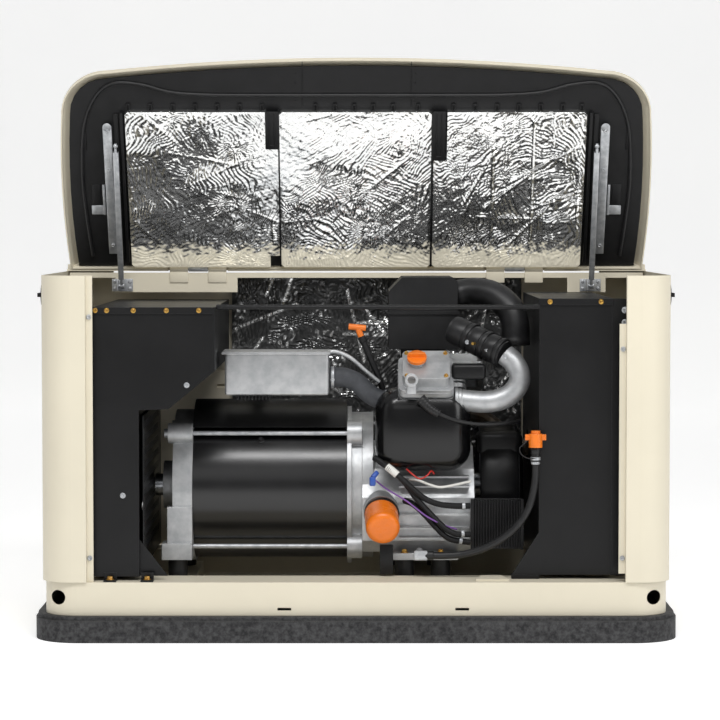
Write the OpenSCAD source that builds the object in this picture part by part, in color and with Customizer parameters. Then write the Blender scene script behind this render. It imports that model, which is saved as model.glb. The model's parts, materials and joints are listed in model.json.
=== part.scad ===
// Home standby generator with its lid open and its front service panel off.
// Origin: centre of the pad's underside. X runs along the length, -Y is the service side, Z is up.
// All sizes are millimetres.

/* [Pad and base tray] */
// Length of the composite mounting pad
pad_l = 1238; // [1226:1:1244]
// Depth of the mounting pad
pad_w = 638; // [626:1:650]
// Thickness of the mounting pad
pad_h = 50; // [40:1:50]
// Length of the pressed base tray
tray_l = 1198; // [1190:1:1204]
// Depth of the base tray
tray_w = 600; // [596:1:606]
// Height of the tray's rim above the ground
tray_top = 114; // [112:1:114]

/* [Enclosure] */
// Length of the enclosure over its end panels
body_l = 1208; // [1204:1:1212]
// Depth of the enclosure
body_w = 610; // [608:1:614]
// Height of the top edge of the end panels
body_top = 700; // [699:0.5:701]
// Radius of the enclosure's upright corners
corner_r = 60; // [50:1:64]
// Half the width of the front service opening
opening_x = 502; // [500:1:503]
// Thickness of the painted steel sheet
sheet = 2.5; // [2:0.1:2.5]

/* [Lid] */
// Angle that the lid stands open from closed
lid_open = 62; // [55:1:62]
// Distance from the hinge line to the middle of the lid's front edge
lid_depth = 478; // [474:1:480]
// Height of the lid's crown above its rim
lid_crown = 30; // [28:1:32]

/* [Alternator] */
// Height of the crankshaft and alternator axis
axle_z = 273; // [272:1:274]
// Outer radius of the alternator can
can_r = 146; // [143:1:147]
// Radius of the tie rods
rod_r = 4.5; // [4:0.1:5]

/* [Hidden] */
$fn = 48;

tray_r = 65;             // corner radius of the tray
tray_floor = 64;         // top of the tray's sunken floor
front_y = -body_w / 2;   // outer face of the enclosure's front
rear_y = body_w / 2;     // outer face of the enclosure's back
hinge_y = 195;           // hinge line of the lid
hinge_z = 704;
stay_y = 175;            // base pivot of the lid stays
stay_z = 670;
stay_x = 488;            // middle of a stay bar
rod_c = 112;             // half the spacing of the tie rods, both ways
carrier_x = [-375, -322];
adapter_x = [-18, 12];
case_x = [12, 232];
bank_tilt = 38;          // each cylinder leans this far from upright
bank_x = [136, 172];     // middle of the front and the rear cylinder
bank_rise = 26;          // how much further out the front head sits
lift_x = 570;            // lifting holes in the tray's corners
lift_z = 84;
anchor = [470, 170];     // half spacing of the anchor bolts
fuel_in = [-200, 500];   // fuel inlet pipe, X and Z
conduit_in = [-440, 200];
mount_spots = [[-351, 140], [95, 140], [166, 140]];
mixer_a = [290, -178, 544];
mixer_b = [190, -120, 592];
stick_top = [10, -112, 576];   // mouth of the dipstick tube
stick_foot = [55, -112, 470];
drain_end = [344, -272, 346];

// ---------- shapes that repeat ----------

module rrect(w, d, r) {
    square([w - 2 * r, d], center = true);
    square([w, d - 2 * r], center = true);
    for (x = [-1, 1], y = [-1, 1]) translate([x * (w / 2 - r), y * (d / 2 - r)]) circle(r);
}

// A cylinder along X, Y, or between two points.
module xcyl(r, x0, x1) translate([x0, 0, 0]) rotate([0, 90, 0]) cylinder(r = r, h = x1 - x0);
module ycyl(r, y0, y1) translate([0, y0, 0]) rotate([-90, 0, 0]) cylinder(r = r, h = y1 - y0);
module rod_between(a, b, r) aim(a, b) cylinder(r = r, h = norm(b - a));
module aim(a, b) {
    d = b - a;
    translate(a) rotate([0, acos(d[2] / norm(d)), atan2(d[1], d[0])]) children();
}

// Prisms whose outline is drawn in the YZ plane or in the XZ plane.
module prism_x(x0, x1) translate([x0, 0, 0]) rotate([90, 0, 90]) linear_extrude(x1 - x0) children();
module prism_y(y0, y1) translate([0, y1, 0]) rotate([90, 0, 0]) linear_extrude(y1 - y0) children();
module block(lo, hi) translate(lo) cube(hi - lo);

// A hose of round section swept along a smooth curve through its points.
function unit(v) = v / norm(v);
function on_curve(p, i, t) =
    let (a = p[max(i - 1, 0)], b = p[i], c = p[i + 1], d = p[min(i + 2, len(p) - 1)])
    0.5 * (2 * b + (c - a) * t + (2 * a - 5 * b + 4 * c - d) * t * t + (3 * b - a - 3 * c + d) * t * t * t);
function curve(p, n) = concat([for (i = [0:len(p) - 2], k = [0:n - 1]) on_curve(p, i, k / n)],
    [p[len(p) - 1]]);
module hose(points, r, sides = 8, steps = 2, across = [0, 1, 0]) {
    p = curve(points, steps);
    last = len(p) - 1;
    rings = [for (i = [0:last])
        let (t = unit(p[min(i + 1, last)] - p[max(i - 1, 0)]), u = unit(cross(t, across)), v = cross(t, u))
        for (j = [0:sides - 1]) p[i] + r * (cos(360 * j / sides) * u + sin(360 * j / sides) * v)];
    walls = [for (i = [0:last - 1], j = [0:sides - 1])
        [i * sides + j, (i + 1) * sides + j, (i + 1) * sides + (j + 1) % sides, i * sides + (j + 1) % sides]];
    start = [for (j = [0:sides - 1]) j];
    end = [for (j = [sides - 1:-1:0]) last * sides + j];
    polyhedron(rings, concat([start], walls, [end]), convexity = 4);
}

module screw_y(r, x, y, z) translate([x, y, z]) rotate([90, 0, 0]) screw_head(r);
module screw_head(r) {
    cylinder(r = r, h = r * 0.25);
    translate([0, 0, r * 0.25]) cylinder(r = r * 0.6, h = r * 0.5, $fn = 6);
}

// ---------- pad, tray and enclosure ----------

module mount_pad() color("#2a2b2d") difference() {
    union() {
        linear_extrude(pad_h - 8) rrect(pad_l, pad_w, 90);
        translate([0, 0, pad_h - 8]) linear_extrude(8) rrect(pad_l - 8, pad_w - 8, 88);
    }
    for (x = [-1, 1], y = [-1, 1]) translate([x * anchor[0], y * anchor[1], -1]) cylinder(r = 7, h = pad_h + 2);
}

module base_tray() color("#e2d9c2") {
    floor_l = tray_l - 100;
    floor_w = 430;
    floor_y = 15;
    difference() {
        translate([0, 0, pad_h]) linear_extrude(tray_top - pad_h) rrect(tray_l, tray_w, tray_r);
        // sunken floor, open above
        translate([0, floor_y, tray_floor]) linear_extrude(100) rrect(floor_l, floor_w, 30);
        // hollow rim, open below
        translate([0, 0, pad_h - 1]) linear_extrude(tray_top - pad_h + 1 - sheet) difference() {
            rrect(tray_l - 2 * sheet, tray_w - 2 * sheet, tray_r - sheet);
            translate([0, floor_y]) rrect(floor_l + 2 * sheet, floor_w + 2 * sheet, 32);
        }
        // hollow under the floor
        translate([0, floor_y, pad_h - 1]) linear_extrude(tray_floor - pad_h + 1 - sheet)
            rrect(floor_l - 2 * sheet, floor_w - 2 * sheet, 28);
        for (x = [-1, 1]) translate([x * lift_x, 0, lift_z]) ycyl(14, front_y - 1, rear_y + 1);
        for (x = [-1, 1], y = [-1, 1]) translate([x * anchor[0], y * anchor[1], pad_h - 1]) cylinder(r = 7, h = 60);
        for (x = [-150, 190]) translate([x, -tray_w / 2 - 1, 60]) cube([26, 8, 5]);
    }
    // hat-section cross members under the rubber mounts
    for (x = [-351, 130]) block([x - (x > 0 ? 66 : 30), -190, tray_floor], [x + (x > 0 ? 66 : 30), 200, 92]);
    // raised pad on the front rim
    translate([262, -252, tray_top]) linear_extrude(4) polygon([[-32, -30], [32, -30], [20, 30], [-20, 30]]);
}

module end_panel(side) difference() {
    union() {
        translate([0, 0, tray_top]) linear_extrude(body_top - tray_top) intersection() {
            difference() {
                rrect(body_l, body_w, corner_r);
                rrect(body_l - 2 * sheet, body_w - 2 * sheet, corner_r - sheet);
            }
            translate([side > 0 ? opening_x + 14 : -body_l, -body_w]) square([body_l - opening_x - 14, 2 * body_w]);
        }
        // return flange beside the front opening
        z0 = side > 0 ? 130 : tray_top;
        z1 = side > 0 ? 608 : body_top;
        x0 = side > 0 ? opening_x : -opening_x - 14;
        block([x0, front_y + 12, z0], [x0 + 14, front_y + 12 + sheet, z1]);
        block([side * (opening_x + 14) - sheet / 2, front_y, tray_top],
            [side * (opening_x + 14) + sheet / 2, front_y + 12 + sheet, body_top]);
        // louvres
        for (k = [0:9]) translate([0, 0, 210 + 34 * k]) louvre_x(side);
    }
    for (k = [0:9]) translate([side > 0 ? body_l / 2 - 4 : -body_l / 2 - 1, -86, 212 + 34 * k]) cube([5, 212, 7]);
    translate([0, -205, 661]) xcyl(8.05, side > 0 ? body_l / 2 - 4 : -body_l / 2 - 4, side > 0 ? body_l / 2 + 4 : -body_l / 2 + 4);
}
module louvre_x(side) {
    x = side * body_l / 2;
    translate([0, 130, 0]) rotate([90, 0, 0]) linear_extrude(220)
        polygon([[x - side * 1, 0], [x + side * 5, 4], [x - side * 1, 22]]);
}
module left_end_panel() color("#e4dcc6") end_panel(-1);
module right_end_panel() color("#e4dcc6") end_panel(1);

module rear_panel() color("#e4dcc6") {
    half = opening_x + 13.9;
    difference() {
        union() {
            block([-half, rear_y - sheet, tray_top], [half, rear_y, body_top - 12]);
            for (x = [-300, 120], k = [0:9]) translate([x, 0, 210 + 34 * k]) rotate([90, 0, 90]) linear_extrude(220)
                polygon([[rear_y - 1, 0], [rear_y + 6, 4], [rear_y - 1, 22]]);
        }
        for (x = [-297, 123], k = [0:9]) translate([x, rear_y - 4, 212 + 34 * k]) cube([214, 5, 7]);
        translate([fuel_in[0], 0, fuel_in[1]]) ycyl(17, rear_y - 20, rear_y + 20);
        translate([conduit_in[0], 0, conduit_in[1]]) ycyl(17.5, rear_y - 20, rear_y + 20);
    }
}

// Rear strip of the roof: a low front edge that the lid swings over, then a rounded crown.
module cap_profile(t) {
    translate([hinge_y + t, body_top]) square([rear_y - hinge_y - 20 - t, 4 - t]);
    polygon([[hinge_y + 13 + t, body_top], [hinge_y + 13 + t, body_top + 3], [hinge_y + 18 + t, body_top + 14 - t],
        [rear_y - 20, body_top + 14 - t], [rear_y - 20, body_top]]);
    translate([rear_y - 20, body_top - 6]) circle(20 - t);
}
module roof_cap() color("#e4dcc6") {
    difference() {
        intersection() {
            prism_x(-body_l / 2, body_l / 2) cap_profile(0);
            translate([0, 0, body_top + 0.2]) linear_extrude(40) rrect(body_l, body_w, corner_r);
        }
        intersection() {
            prism_x(-body_l / 2, body_l / 2) cap_profile(sheet);
            linear_extrude(body_top + 40) rrect(body_l - 2 * sheet, body_w - 2 * sheet, corner_r - sheet);
        }
        // room for the hinge knuckles
        for (x = [-330, 330]) translate([x, hinge_y, hinge_z]) xcyl(7, -62, 62);
    }
    // front flange, deeper beside the control compartment
    block([-598, hinge_y, 686], [598, hinge_y + 2, 697]);
    block([-503, hinge_y, 656], [-248, hinge_y + 2, 686]);
    block([440, hinge_y, 656], [520, hinge_y + 2, 686]);
}

module cross_bar() color("#1d1d1f") {
    block([-268, -277, 632], [352, -275, 646]);
    block([-268, -275, 644], [352, -255, 646]);
}

module rear_insulation() color("#c9cbcc") difference() {
    block([-264, 286, 122], [350, 302, 686]);
    translate([fuel_in[0], 0, fuel_in[1]]) ycyl(17, 280, 310);
}

// Folded box for the controls, stepped back over the alternator.
compartment = [[-504, 639], [-270, 639], [-270, 517], [-359, 444], [-416, 442], [-416, 122], [-504, 122]];
module control_compartment() color("#18191b") {
    difference() {
        prism_y(-275, 280) polygon(compartment);
        prism_y(-273, 278) offset(delta = -2) polygon(compartment);
        // window for the perforated screen, and the conduit entry
        block([-420, -262, 160], [-410, 122, 430]);
        translate([conduit_in[0], 0, conduit_in[1]]) ycyl(17.5, 270, 290);
        // cable opening in the back
        block([-480, 270, 540], [-300, 290, 620]);
    }
    // front lip and feet
    block([-504, -279, 627], [-270, -275, 639]);
    for (x = [-471, -400]) block([x - 12, -298, 114.2], [x + 12, -274, 117.2]);
    for (x = [-471, -400]) block([x - 12, -277, 114.2], [x + 12, -274, 130]);
    // brace to the tray
    translate([-416, -262, 122]) rotate([90, 0, 0]) linear_extrude(2) polygon([[0, 0], [0, 70], [54, 0]]);
}

module intake_screen() color("#202123") difference() {
    block([-409.8, -262, 160], [-408, 122, 430]);
    for (y = [0:11], z = [0:9]) translate([-409, -242 + 31 * y, 177 + 26 * z]) cube([6, 16, 14], center = true);
}

module exhaust_box() color("#18191b") {
    difference() {
        block([352, -250, 122], [493.5, 250, 655]);
        block([354, -248, 124], [491.5, 248, 653]);
        translate([0, 108, 340]) xcyl(36, 345, 360);
        translate([0, 40, 300]) xcyl(40, 485, 500);
    }
    block([350, -254, 643], [493.5, -250, 655]);
    // flange that closes the gap beside the end panel
    block([491.5, -252, 122], [522, -250, 655]);
    // foot on the tray's rim, with its slanted stiffener
    translate([352, -248, 114.2]) rotate([90, 0, 0]) linear_extrude(2) polygon([[0, 7.8], [0, 90], [-52, 7.8]]);
    block([300, -250, 114.2], [353, -226, 121.8]);
}

// Fixed sheet steel: lid hinge leaves with their pins, and the stays' base pivots.
module hinge_brackets() color("#b9bcc0") {
    for (x = [-330, 330]) {
        for (s = [-1, 1]) {
            block([x + s * 40 - 19, hinge_y - 2.2, 676], [x + s * 40 + 19, hinge_y - 0.2, hinge_z - 2]);
            translate([x + s * 40, hinge_y, hinge_z]) xcyl(5, -19, 19);
        }
        translate([x, hinge_y, hinge_z]) xcyl(2.5, -22, 22);
    }
    for (x = [-stay_x, stay_x]) {
        block([x - 22, hinge_y - 2.2, 658], [x + 22, hinge_y - 0.2, 684]);
        block([x - 9.5, stay_y - 10, 660], [x - 6.5, hinge_y - 1, 682]);
        translate([x, stay_y, stay_z]) xcyl(4, -8, 5);
        translate([x, stay_y, stay_z]) xcyl(6.5, 3.2, 5.5);
        for (z = [664, 678], dx = [-16, 16]) translate([x + dx, hinge_y - 2.2, z]) rotate([90, 0, 0]) cylinder(r = 3.5, h = 2);
    }
}

// ---------- lid, drawn closed and swung open about its hinge ----------

module in_lid() translate([0, hinge_y, hinge_z]) rotate([-lid_open, 0, 0]) children();

// Half width at a distance s from the hinge, and the plan outline: slightly bulged sides,
// round front corners and a bowed front edge.
corner_x = 500;
corner_s = 355;
corner_round = 95;
function side_x(s) = corner_x + corner_round + 8 * (1 - pow((s - 178) / 178, 2));
function front_s(x) = lid_depth - 28 * pow(x / corner_x, 2);
function lid_half(inset) = concat(
    [for (s = [2 + inset * 0.2, 60, 120, 180, 240, 300]) [side_x(s) - inset, -s]],
    [for (a = [0:15:75]) [corner_x + (corner_round - inset) * cos(a), -corner_s - (corner_round - inset) * sin(a)]],
    [for (x = [corner_x:-100:0]) [x, -front_s(x) + inset]]);
module lid_outline(inset) {
    right = lid_half(inset);
    polygon(concat(right, [for (i = [len(right) - 1:-1:0]) [-right[i][0], right[i][1]]]));
}
// Domed solid: upright edge, then a round shoulder and a gentle crown.
module lid_dome(inset, low, high) hull() {
    translate([0, 0, low]) linear_extrude(9) lid_outline(inset);
    translate([0, 0, high - 9]) linear_extrude(1) lid_outline(inset + 14);
    translate([0, 0, high - 1]) linear_extrude(1) lid_outline(inset + 60);
}
module lid_shell() color("#e4dcc6") in_lid() difference() {
    lid_dome(0, -2, lid_crown);
    lid_dome(3, -2.5, lid_crown - 3);
    for (x = [-330, 330]) block([x - 64, -14, -9], [x + 64, 4, 7.5]);
}
module lid_liner() color("#1b1c1e") in_lid() {
    translate([0, 0, 6]) linear_extrude(3) lid_outline(17);
}
module lid_gasket() color("#141415") in_lid() translate([0, 0, 0.5]) linear_extrude(5.4) difference() {
    lid_outline(38);
    lid_outline(46);
    translate([-700, -20]) square([1400, 60]);
}
module lid_insulation() color("#c9cbcc") in_lid()
    for (x = [-312.5, -1.5, 311]) translate([x, -187, -9]) linear_extrude(14.9) rrect(308, 356, 8);
module lid_brackets() color("#a9acb0") in_lid() {
    for (s = [-1, 1]) {
        // stay channel and the black edge strip beside the foil
        translate([s * 504 - 9, -330, -6]) cube([18, 290, 3]);
        translate([s * 504 - 9, -330, -6]) cube([2, 290, 8]);
        translate([s * 504 + 7, -330, -6]) cube([2, 290, 8]);
        for (y = [-322, -235, -60]) translate([s * 504, y, -3]) cylinder(r = 5, h = 9);
        translate([s * 474 - 3, -360, -6]) cube([6, 340, 12]);
    }
    // hinge leaves that swing with the lid, and the tee straps between the foil panels
    for (x = [-330, 330]) {
        knuckle(x, 5, 20);
        block([x - 19.5, -8.6, 1], [x + 19.5, -3.5, 6]);
    }
    for (x = [-157, 154]) block([x - 1.2, -365, -11], [x + 1.2, -290, 6]);
    for (x = [-157, 154]) block([x - 14, -365, -11], [x + 14, -352, -9.2]);
}
module knuckle(x, r, half) difference() {
    translate([x, 0, 0]) xcyl(r, -half, half);
    translate([x, 0, 0]) xcyl(2.56, -half - 1, half + 1);
}

// Stay bar: pivots on its base bracket and runs beside the lid's channel.
module stay_bar(side) {
    tip = [stay_x * side, 50, 955.3];
    base = [stay_x * side, stay_y, stay_z];
    d = tip - base;
    long = norm(d);
    translate(base) rotate([atan2(-d[1], d[2]), 0, 0]) difference() {
        union() {
            translate([-2.5, -6, 0]) cube([5, 12, long]);
            xcyl(6, -2.5, 2.5);
            translate([0, 0, long]) xcyl(6, -2.5, 2.5);
            translate([0, 0, long]) xcyl(2.5, -4.5, 4.5);
        }
        xcyl(4.06, -3, 3);
    }
}
module left_stay() color("#c8cbcf") stay_bar(-1);
module right_stay() color("#c8cbcf") stay_bar(1);

// Quarter-turn lid lock: a round black knob with a grip bar, a shaft and a cam inside.
module lid_lock(side) translate([side * body_l / 2, -205, 661]) rotate([0, side * 90, 0]) {
    translate([0, 0, 0.4]) cylinder(r = 21, h = 4);
    translate([-4, -17, 4.4]) cube([8, 34, 6.6]);
    translate([0, 0, -14]) cylinder(r = 8, h = 14.4);
    translate([-26, -6, -14]) cube([26, 12, 3]);
}
module left_lock() color("#151516") lid_lock(-1);
module right_lock() color("#151516") lid_lock(1);

// ---------- alternator ----------

module on_axle() translate([0, 0, axle_z]) children();

module stator_can() color("#1c1d1f") on_axle() difference() {
    xcyl(can_r, carrier_x[1], adapter_x[0]);
    xcyl(can_r - 3, carrier_x[1] + 12, adapter_x[0] - 12);
    xcyl(120, carrier_x[1] - 1, adapter_x[0] + 1);
}
module alternator_hood() color("#141516") translate([0, 0, axle_z + 12]) difference() {
    xcyl(161, carrier_x[1], adapter_x[0]);
    xcyl(158.5, carrier_x[1] - 1, adapter_x[0] + 1);
    block([-400, -200, -200], [50, 200, 112]);
}
module stator_core() color("#8a5a3a") on_axle() difference() {
    union() {
        xcyl(can_r - 3.1, -270, -90);
        xcyl(128, -300, -60);
    }
    xcyl(92, -301, -59);
}
module rotor() color("#55585c") on_axle() {
    difference() {
        union() {
            xcyl(90, -265, -95);
            xcyl(30, -300, -60);
        }
        xcyl(22, -301, -59);
        for (a = [45:90:315]) rotate([a, 0, 0]) translate([-180, 0, 86]) cube([172, 16, 34], center = true);
    }
}
module bearing_carrier() color("#b4b6b8") on_axle() {
    x0 = carrier_x[0];
    x1 = carrier_x[1];
    difference() {
        union() {
            xcyl(152, x0 + 14, x1 - 0.2);
            xcyl(48, x0 - 12, x1 - 0.2);
            for (y = [-1, 1], z = [-1, 1]) translate([0, y * rod_c, z * rod_c]) xcyl(20, x0 + 4, x1 - 0.2);
            // feet down to the rubber mounts
            for (y = [-1, 1]) block([x0 - 6, y * 140 - 26, 140 - axle_z], [x1 - 0.2, y * 140 + 26, 172 - axle_z]);
            for (y = [-1, 1]) block([x0 + 4, y * 142 - 12, 172 - axle_z], [x1 - 0.2, y * 142 + 10, -30]);
        }
        // cooling windows between the spokes
        difference() {
            xcyl(134, x0 - 1, x1 + 1);
            xcyl(52, x0 - 2, x1 + 2);
            for (a = [0:45:135]) rotate([a, 0, 0]) block([x0 - 2, -150, -9], [x1 + 2, 150, 9]);
        }
        xcyl(31, x0 - 13, x1 + 1);
        for (y = [-1, 1], z = [-1, 1]) translate([0, y * rod_c, z * rod_c]) {
            xcyl(rod_r + 0.5, x0 - 1, x1 + 1);
            xcyl(9.5, x0 - 10, x0 + 4);
        }
        for (y = [-1, 1]) translate([-351, y * 140, 140 - axle_z - 1]) cylinder(r = 6.5, h = 20);
    }
}
module rear_bearing() color("#c9ccd0") on_axle() difference() {
    xcyl(31, -371, -352);
    xcyl(22.05, -372, -351);
}
module tie_rods() color("#d3d6d9") on_axle() for (y = [-1, 1], z = [-1, 1]) translate([0, y * rod_c, z * rod_c]) {
    xcyl(rod_r, carrier_x[0] - 4, adapter_x[1] - 2);
    xcyl(9, carrier_x[0] - 4, carrier_x[0] + 3.8);
}
module engine_adapter() color("#aeb0b2") on_axle() {
    difference() {
        union() {
            xcyl(158, adapter_x[0] + 0.2, adapter_x[0] + 9);
            xcyl(146, adapter_x[0] + 9, adapter_x[1] - 0.2);
            for (y = [-1, 1], z = [-1, 1]) translate([0, y * rod_c, z * rod_c]) xcyl(24, adapter_x[0] + 0.2, adapter_x[1] - 0.2);
        }
        xcyl(118, adapter_x[0] - 1, adapter_x[0] + 20);
        xcyl(60, adapter_x[0] - 1, adapter_x[1] + 1);
        for (y = [-1, 1], z = [-1, 1]) translate([0, y * rod_c, z * rod_c]) xcyl(rod_r + 0.5, adapter_x[0] - 1, adapter_x[1] + 1);
    }
}

// ---------- engine ----------

// Places a cylinder bank's own upright frame: side -1 is the rear bank, 1 the front bank.
module bank(side) on_axle() rotate([side * bank_tilt, 0, 0]) translate([side > 0 ? bank_x[0] : bank_x[1], 0, 0]) children();

module crankcase() color("#a4a6a8") difference() {
    union() {
        prism_x(case_x[0], case_x[1]) polygon([[-128, 152], [-150, 176], [-160, 262], [-128, 316], [-70, 356],
            [70, 356], [128, 316], [160, 262], [150, 176], [128, 152]]);
        on_axle() xcyl(146, case_x[0], case_x[0] + 22);
        // horizontal ribs on the front, and the mounting rails
        for (z = [180, 200, 226, 246, 282]) block([84, -166, z], [222, -140, z + 4]);
        block([84, -156, 300], [222, -128, 304]);
        block([66, -166, 140], [200, -112, 153]);
        block([66, 112, 140], [200, 166, 153]);
        // oil filter boss
        translate([48, -140, 243]) rotate([109, 0, 2.5]) cylinder(r = 35, h = 26);
    }
    on_axle() xcyl(25.05, case_x[0] - 1, case_x[1] + 1);
    on_axle() xcyl(84, 44, 200);
    for (s = [-1, 1]) bank(s) translate([0, 0, 40]) cylinder(r = 43, h = 120);
    for (x = [95, 166], y = [-1, 1]) translate([x, y * 140, 139]) cylinder(r = 6.5, h = 12);
}
module crankshaft() color("#7b7e82") on_axle() {
    xcyl(25, case_x[0] - 10, 60);
    xcyl(25, 184, 250);
    xcyl(22, -405, case_x[0] - 10);
    xcyl(18, 250, 292);
    for (x = [60, 152]) translate([x, 0, 0]) {
        block([0, -24, -62], [18, 24, 44]);
        xcyl(40, 0, 18);
    }
    translate([0, 0, 34]) xcyl(19, 78, 152);
    block([78, -18, -20], [80, 18, 20]);
    xcyl(22, 170, 184);
}
module cylinders() color("#8f9194") for (s = [-1, 1]) bank(s) difference() {
    rise = s > 0 ? bank_rise : 0;
    union() {
        translate([0, 0, 92]) cylinder(r = 42.8, h = 20);
        translate([0, 0, 112]) cylinder(r = 52, h = 93 + rise);
    }
    translate([0, 0, 91]) cylinder(r = 40, h = 120 + rise);
}
module cylinder_heads() color("#9b9da0") for (s = [-1, 1]) bank(s) translate([0, 0, s > 0 ? bank_rise : 0]) difference() {
    translate([0, 0, 205.2]) linear_extrude(58) rrect(108, 100, 14);
    translate([0, 0, 204]) cylinder(r = 38, h = 9);
    for (k = [0:3]) translate([0, 0, 215 + 11 * k]) difference() {
        translate([-60, -60, 0]) cube([120, 120, 5]);
        translate([0, 0, -1]) linear_extrude(7) rrect(88, 80, 14);
    }
}
// The rear cover runs on to the right, over the breather.
module valve_covers() color("#c4c6c8") for (s = [-1, 1]) bank(s) translate([0, 0, s > 0 ? bank_rise : 0]) {
    wide = s > 0 ? 92 : 124;
    translate([s > 0 ? 0 : 24, 0, 0]) difference() {
        union() {
            translate([0, 0, 263.4]) linear_extrude(7) rrect(wide + 14, 98, 10);
            translate([0, 0, 270.4]) linear_extrude(24) rrect(wide, 82, 12);
        }
        translate([0, 0, 263]) linear_extrude(28) rrect(wide - 8, 74, 9);
    }
    if (s > 0) translate([-18, 6, 294.4]) difference() {
        cylinder(r = 15, h = 9);
        translate([0, 0, -1]) cylinder(r = 11.05, h = 12);
    }
}
module flywheel_fan() color("#3a3c3f") on_axle() difference() {
    union() {
        xcyl(100, 252, 262);
        xcyl(34, 250.2, 280);
        for (a = [0:24:336]) rotate([a, 0, 0]) translate([262, -2, 58]) rotate([0, 0, 14]) cube([22, 4, 40]);
    }
    xcyl(18.02, 240, 300);
}

// Smooth cover over the front cylinder, open at the back and where the head comes through.
module dome_form(grow) hull() for (x = [83, 178], z = [362, 434])
    translate([x, -170, z]) sphere(r = 46 + grow, $fn = 28);
module engine_shroud() color("#131415") difference() {
    dome_form(0);
    dome_form(-2.5);
    block([0, -168, 200], [260, 80, 520]);
    bank(1) translate([-55, -51, 204]) cube([110, 110, 110]);
    translate([0, -180, 455]) xcyl(27, 186, 262);
}

module duct_form(grow) {
    translate([0, axle_z]) circle(r = 126 + grow);
    translate([-4, 359]) rrect(300 + 2 * grow, 190 + 2 * grow, 54 + grow);
}
module cooling_duct() color("#17181a") difference() {
    prism_x(236, 308) duct_form(0);
    prism_x(235, 305) duct_form(-3);
    on_axle() xcyl(76, 300, 312);
}

module oil_filter() color("#e8792b") translate([49, -167, 233]) rotate([109, 0, 2.5])
    rotate_extrude() polygon(concat([[0, 0], [31, 0], [33, 2], [33, 62]],
        [for (a = [0:15:75]) [21 + 12 * cos(a), 66 + 12 * sin(a)]], [[21, 78], [0, 78]]));

module oil_fill_cap() color("#e8792b") bank(1) translate([-18, 6, 294.4 + bank_rise]) {
    translate([0, 0, 0.2]) cylinder(r = 11, h = 9);
    translate([0, 0, 9.2]) cylinder(r = 19, h = 6);
    translate([-16, -2.5, 15.2]) cube([32, 5, 9]);
}

module dipstick_tube() color("#33353a") {
    long = norm(stick_top - stick_foot);
    aim(stick_foot, stick_top) difference() {
        cylinder(r = 6, h = long);
        translate([0, 0, 4]) cylinder(r = 4, h = long);
    }
    // lower bend into the crankcase
    hose([stick_foot + [-1, 0, 2], [59, -112, 446], [60, -112, 410], [60, -112, 370], [60, -112, 332]], 6, 8, 2);
}
module dipstick() color("#e8792b") aim(stick_foot, stick_top) {
    long = norm(stick_top - stick_foot);
    translate([0, 0, 6]) cylinder(r = 1.5, h = long);
    translate([0, 0, long + 0.3]) cylinder(r = 6, h = 14);
    translate([0, 0, long + 20]) rotate([0, 62, 0]) translate([0, 0, -17]) cylinder(r = 6, h = 34);
    translate([0, 0, long + 14]) cylinder(r = 5, h = 6);
}

module oil_cooler() color("#1a1b1c") {
    block([224, -184, 163], [230, -164, 262]);
    block([321, -184, 163], [327, -164, 262]);
    block([230, -174, 163], [321, -164, 262]);
    for (k = [0:16]) block([232 + 5.4 * k, -186, 166], [233.6 + 5.4 * k, -174, 259]);
    block([236, -164, 200], [244, -134, 230]);
}

// Cast inlet pipe: a U that runs back over itself.
intake_route = [[206, -180, 455], [250, -188, 452], [280, -191, 457], [302, -192, 469], [316, -192, 488],
    [317, -190, 508], [306, -184, 530], [291, -178, 543]];
module intake_pipe() color("#c2c4c6") {
    hose(intake_route, 21, 16, 2);
    translate([192, -180, 455]) rotate([0, 90, 0]) cylinder(r = 25, h = 14);
}

module mixer() color("#1b1c1e") {
    long = norm(mixer_b - mixer_a);
    aim(mixer_a, mixer_b) difference() {
        union() {
            translate([0, 0, 1]) cylinder(r = 27, h = long - 1);
            for (z = [6, 40, 78]) translate([0, 0, z]) cylinder(r = 30, h = 9);
        }
        cylinder(r = 22, h = long + 1);
        translate([0, 0, 56]) rotate([90, 0, 0]) cylinder(r = 3.05, h = 80, center = true);
    }
}
module throttle_plate() color("#c9a24c") aim(mixer_a, mixer_b) translate([0, 0, 56]) {
    rotate([0, 30, 0]) translate([0, 0, -1]) cylinder(r = 21.4, h = 2);
    rotate([90, 0, 0]) cylinder(r = 3, h = 74, center = true);
    translate([-5, -40, -5]) cube([10, 3, 24]);
}

module air_box() color("#1d1e20") {
    outline = [[65, 549], [65, 664], [92, 692], [192, 692], [202, 684], [202, 549]];
    difference() {
        prism_y(-60, 120) polygon(outline);
        prism_y(-57, 117) offset(delta = -3) polygon(outline);
        translate([0, 20, 655]) xcyl(31, 195, 210);
        aim([202, -50, 590], [150, -20, 596]) translate([0, 0, -20]) cylinder(r = 18, h = 60);
    }
    block([60, -64, 618], [207, -60.2, 624]);
    block([90, -20, 500], [180, 60, 548.8]);
}
module air_filter() color("#d8d3c4") block([80, -45, 570], [188, 100, 606]);
module air_elbow() color("#161718")
    hose([[204, 20, 655], [238, 12, 662], [278, -8, 654], [308, -28, 628], [318, -38, 596], [318, -42, 556]],
        28, 14, 2);

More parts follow.
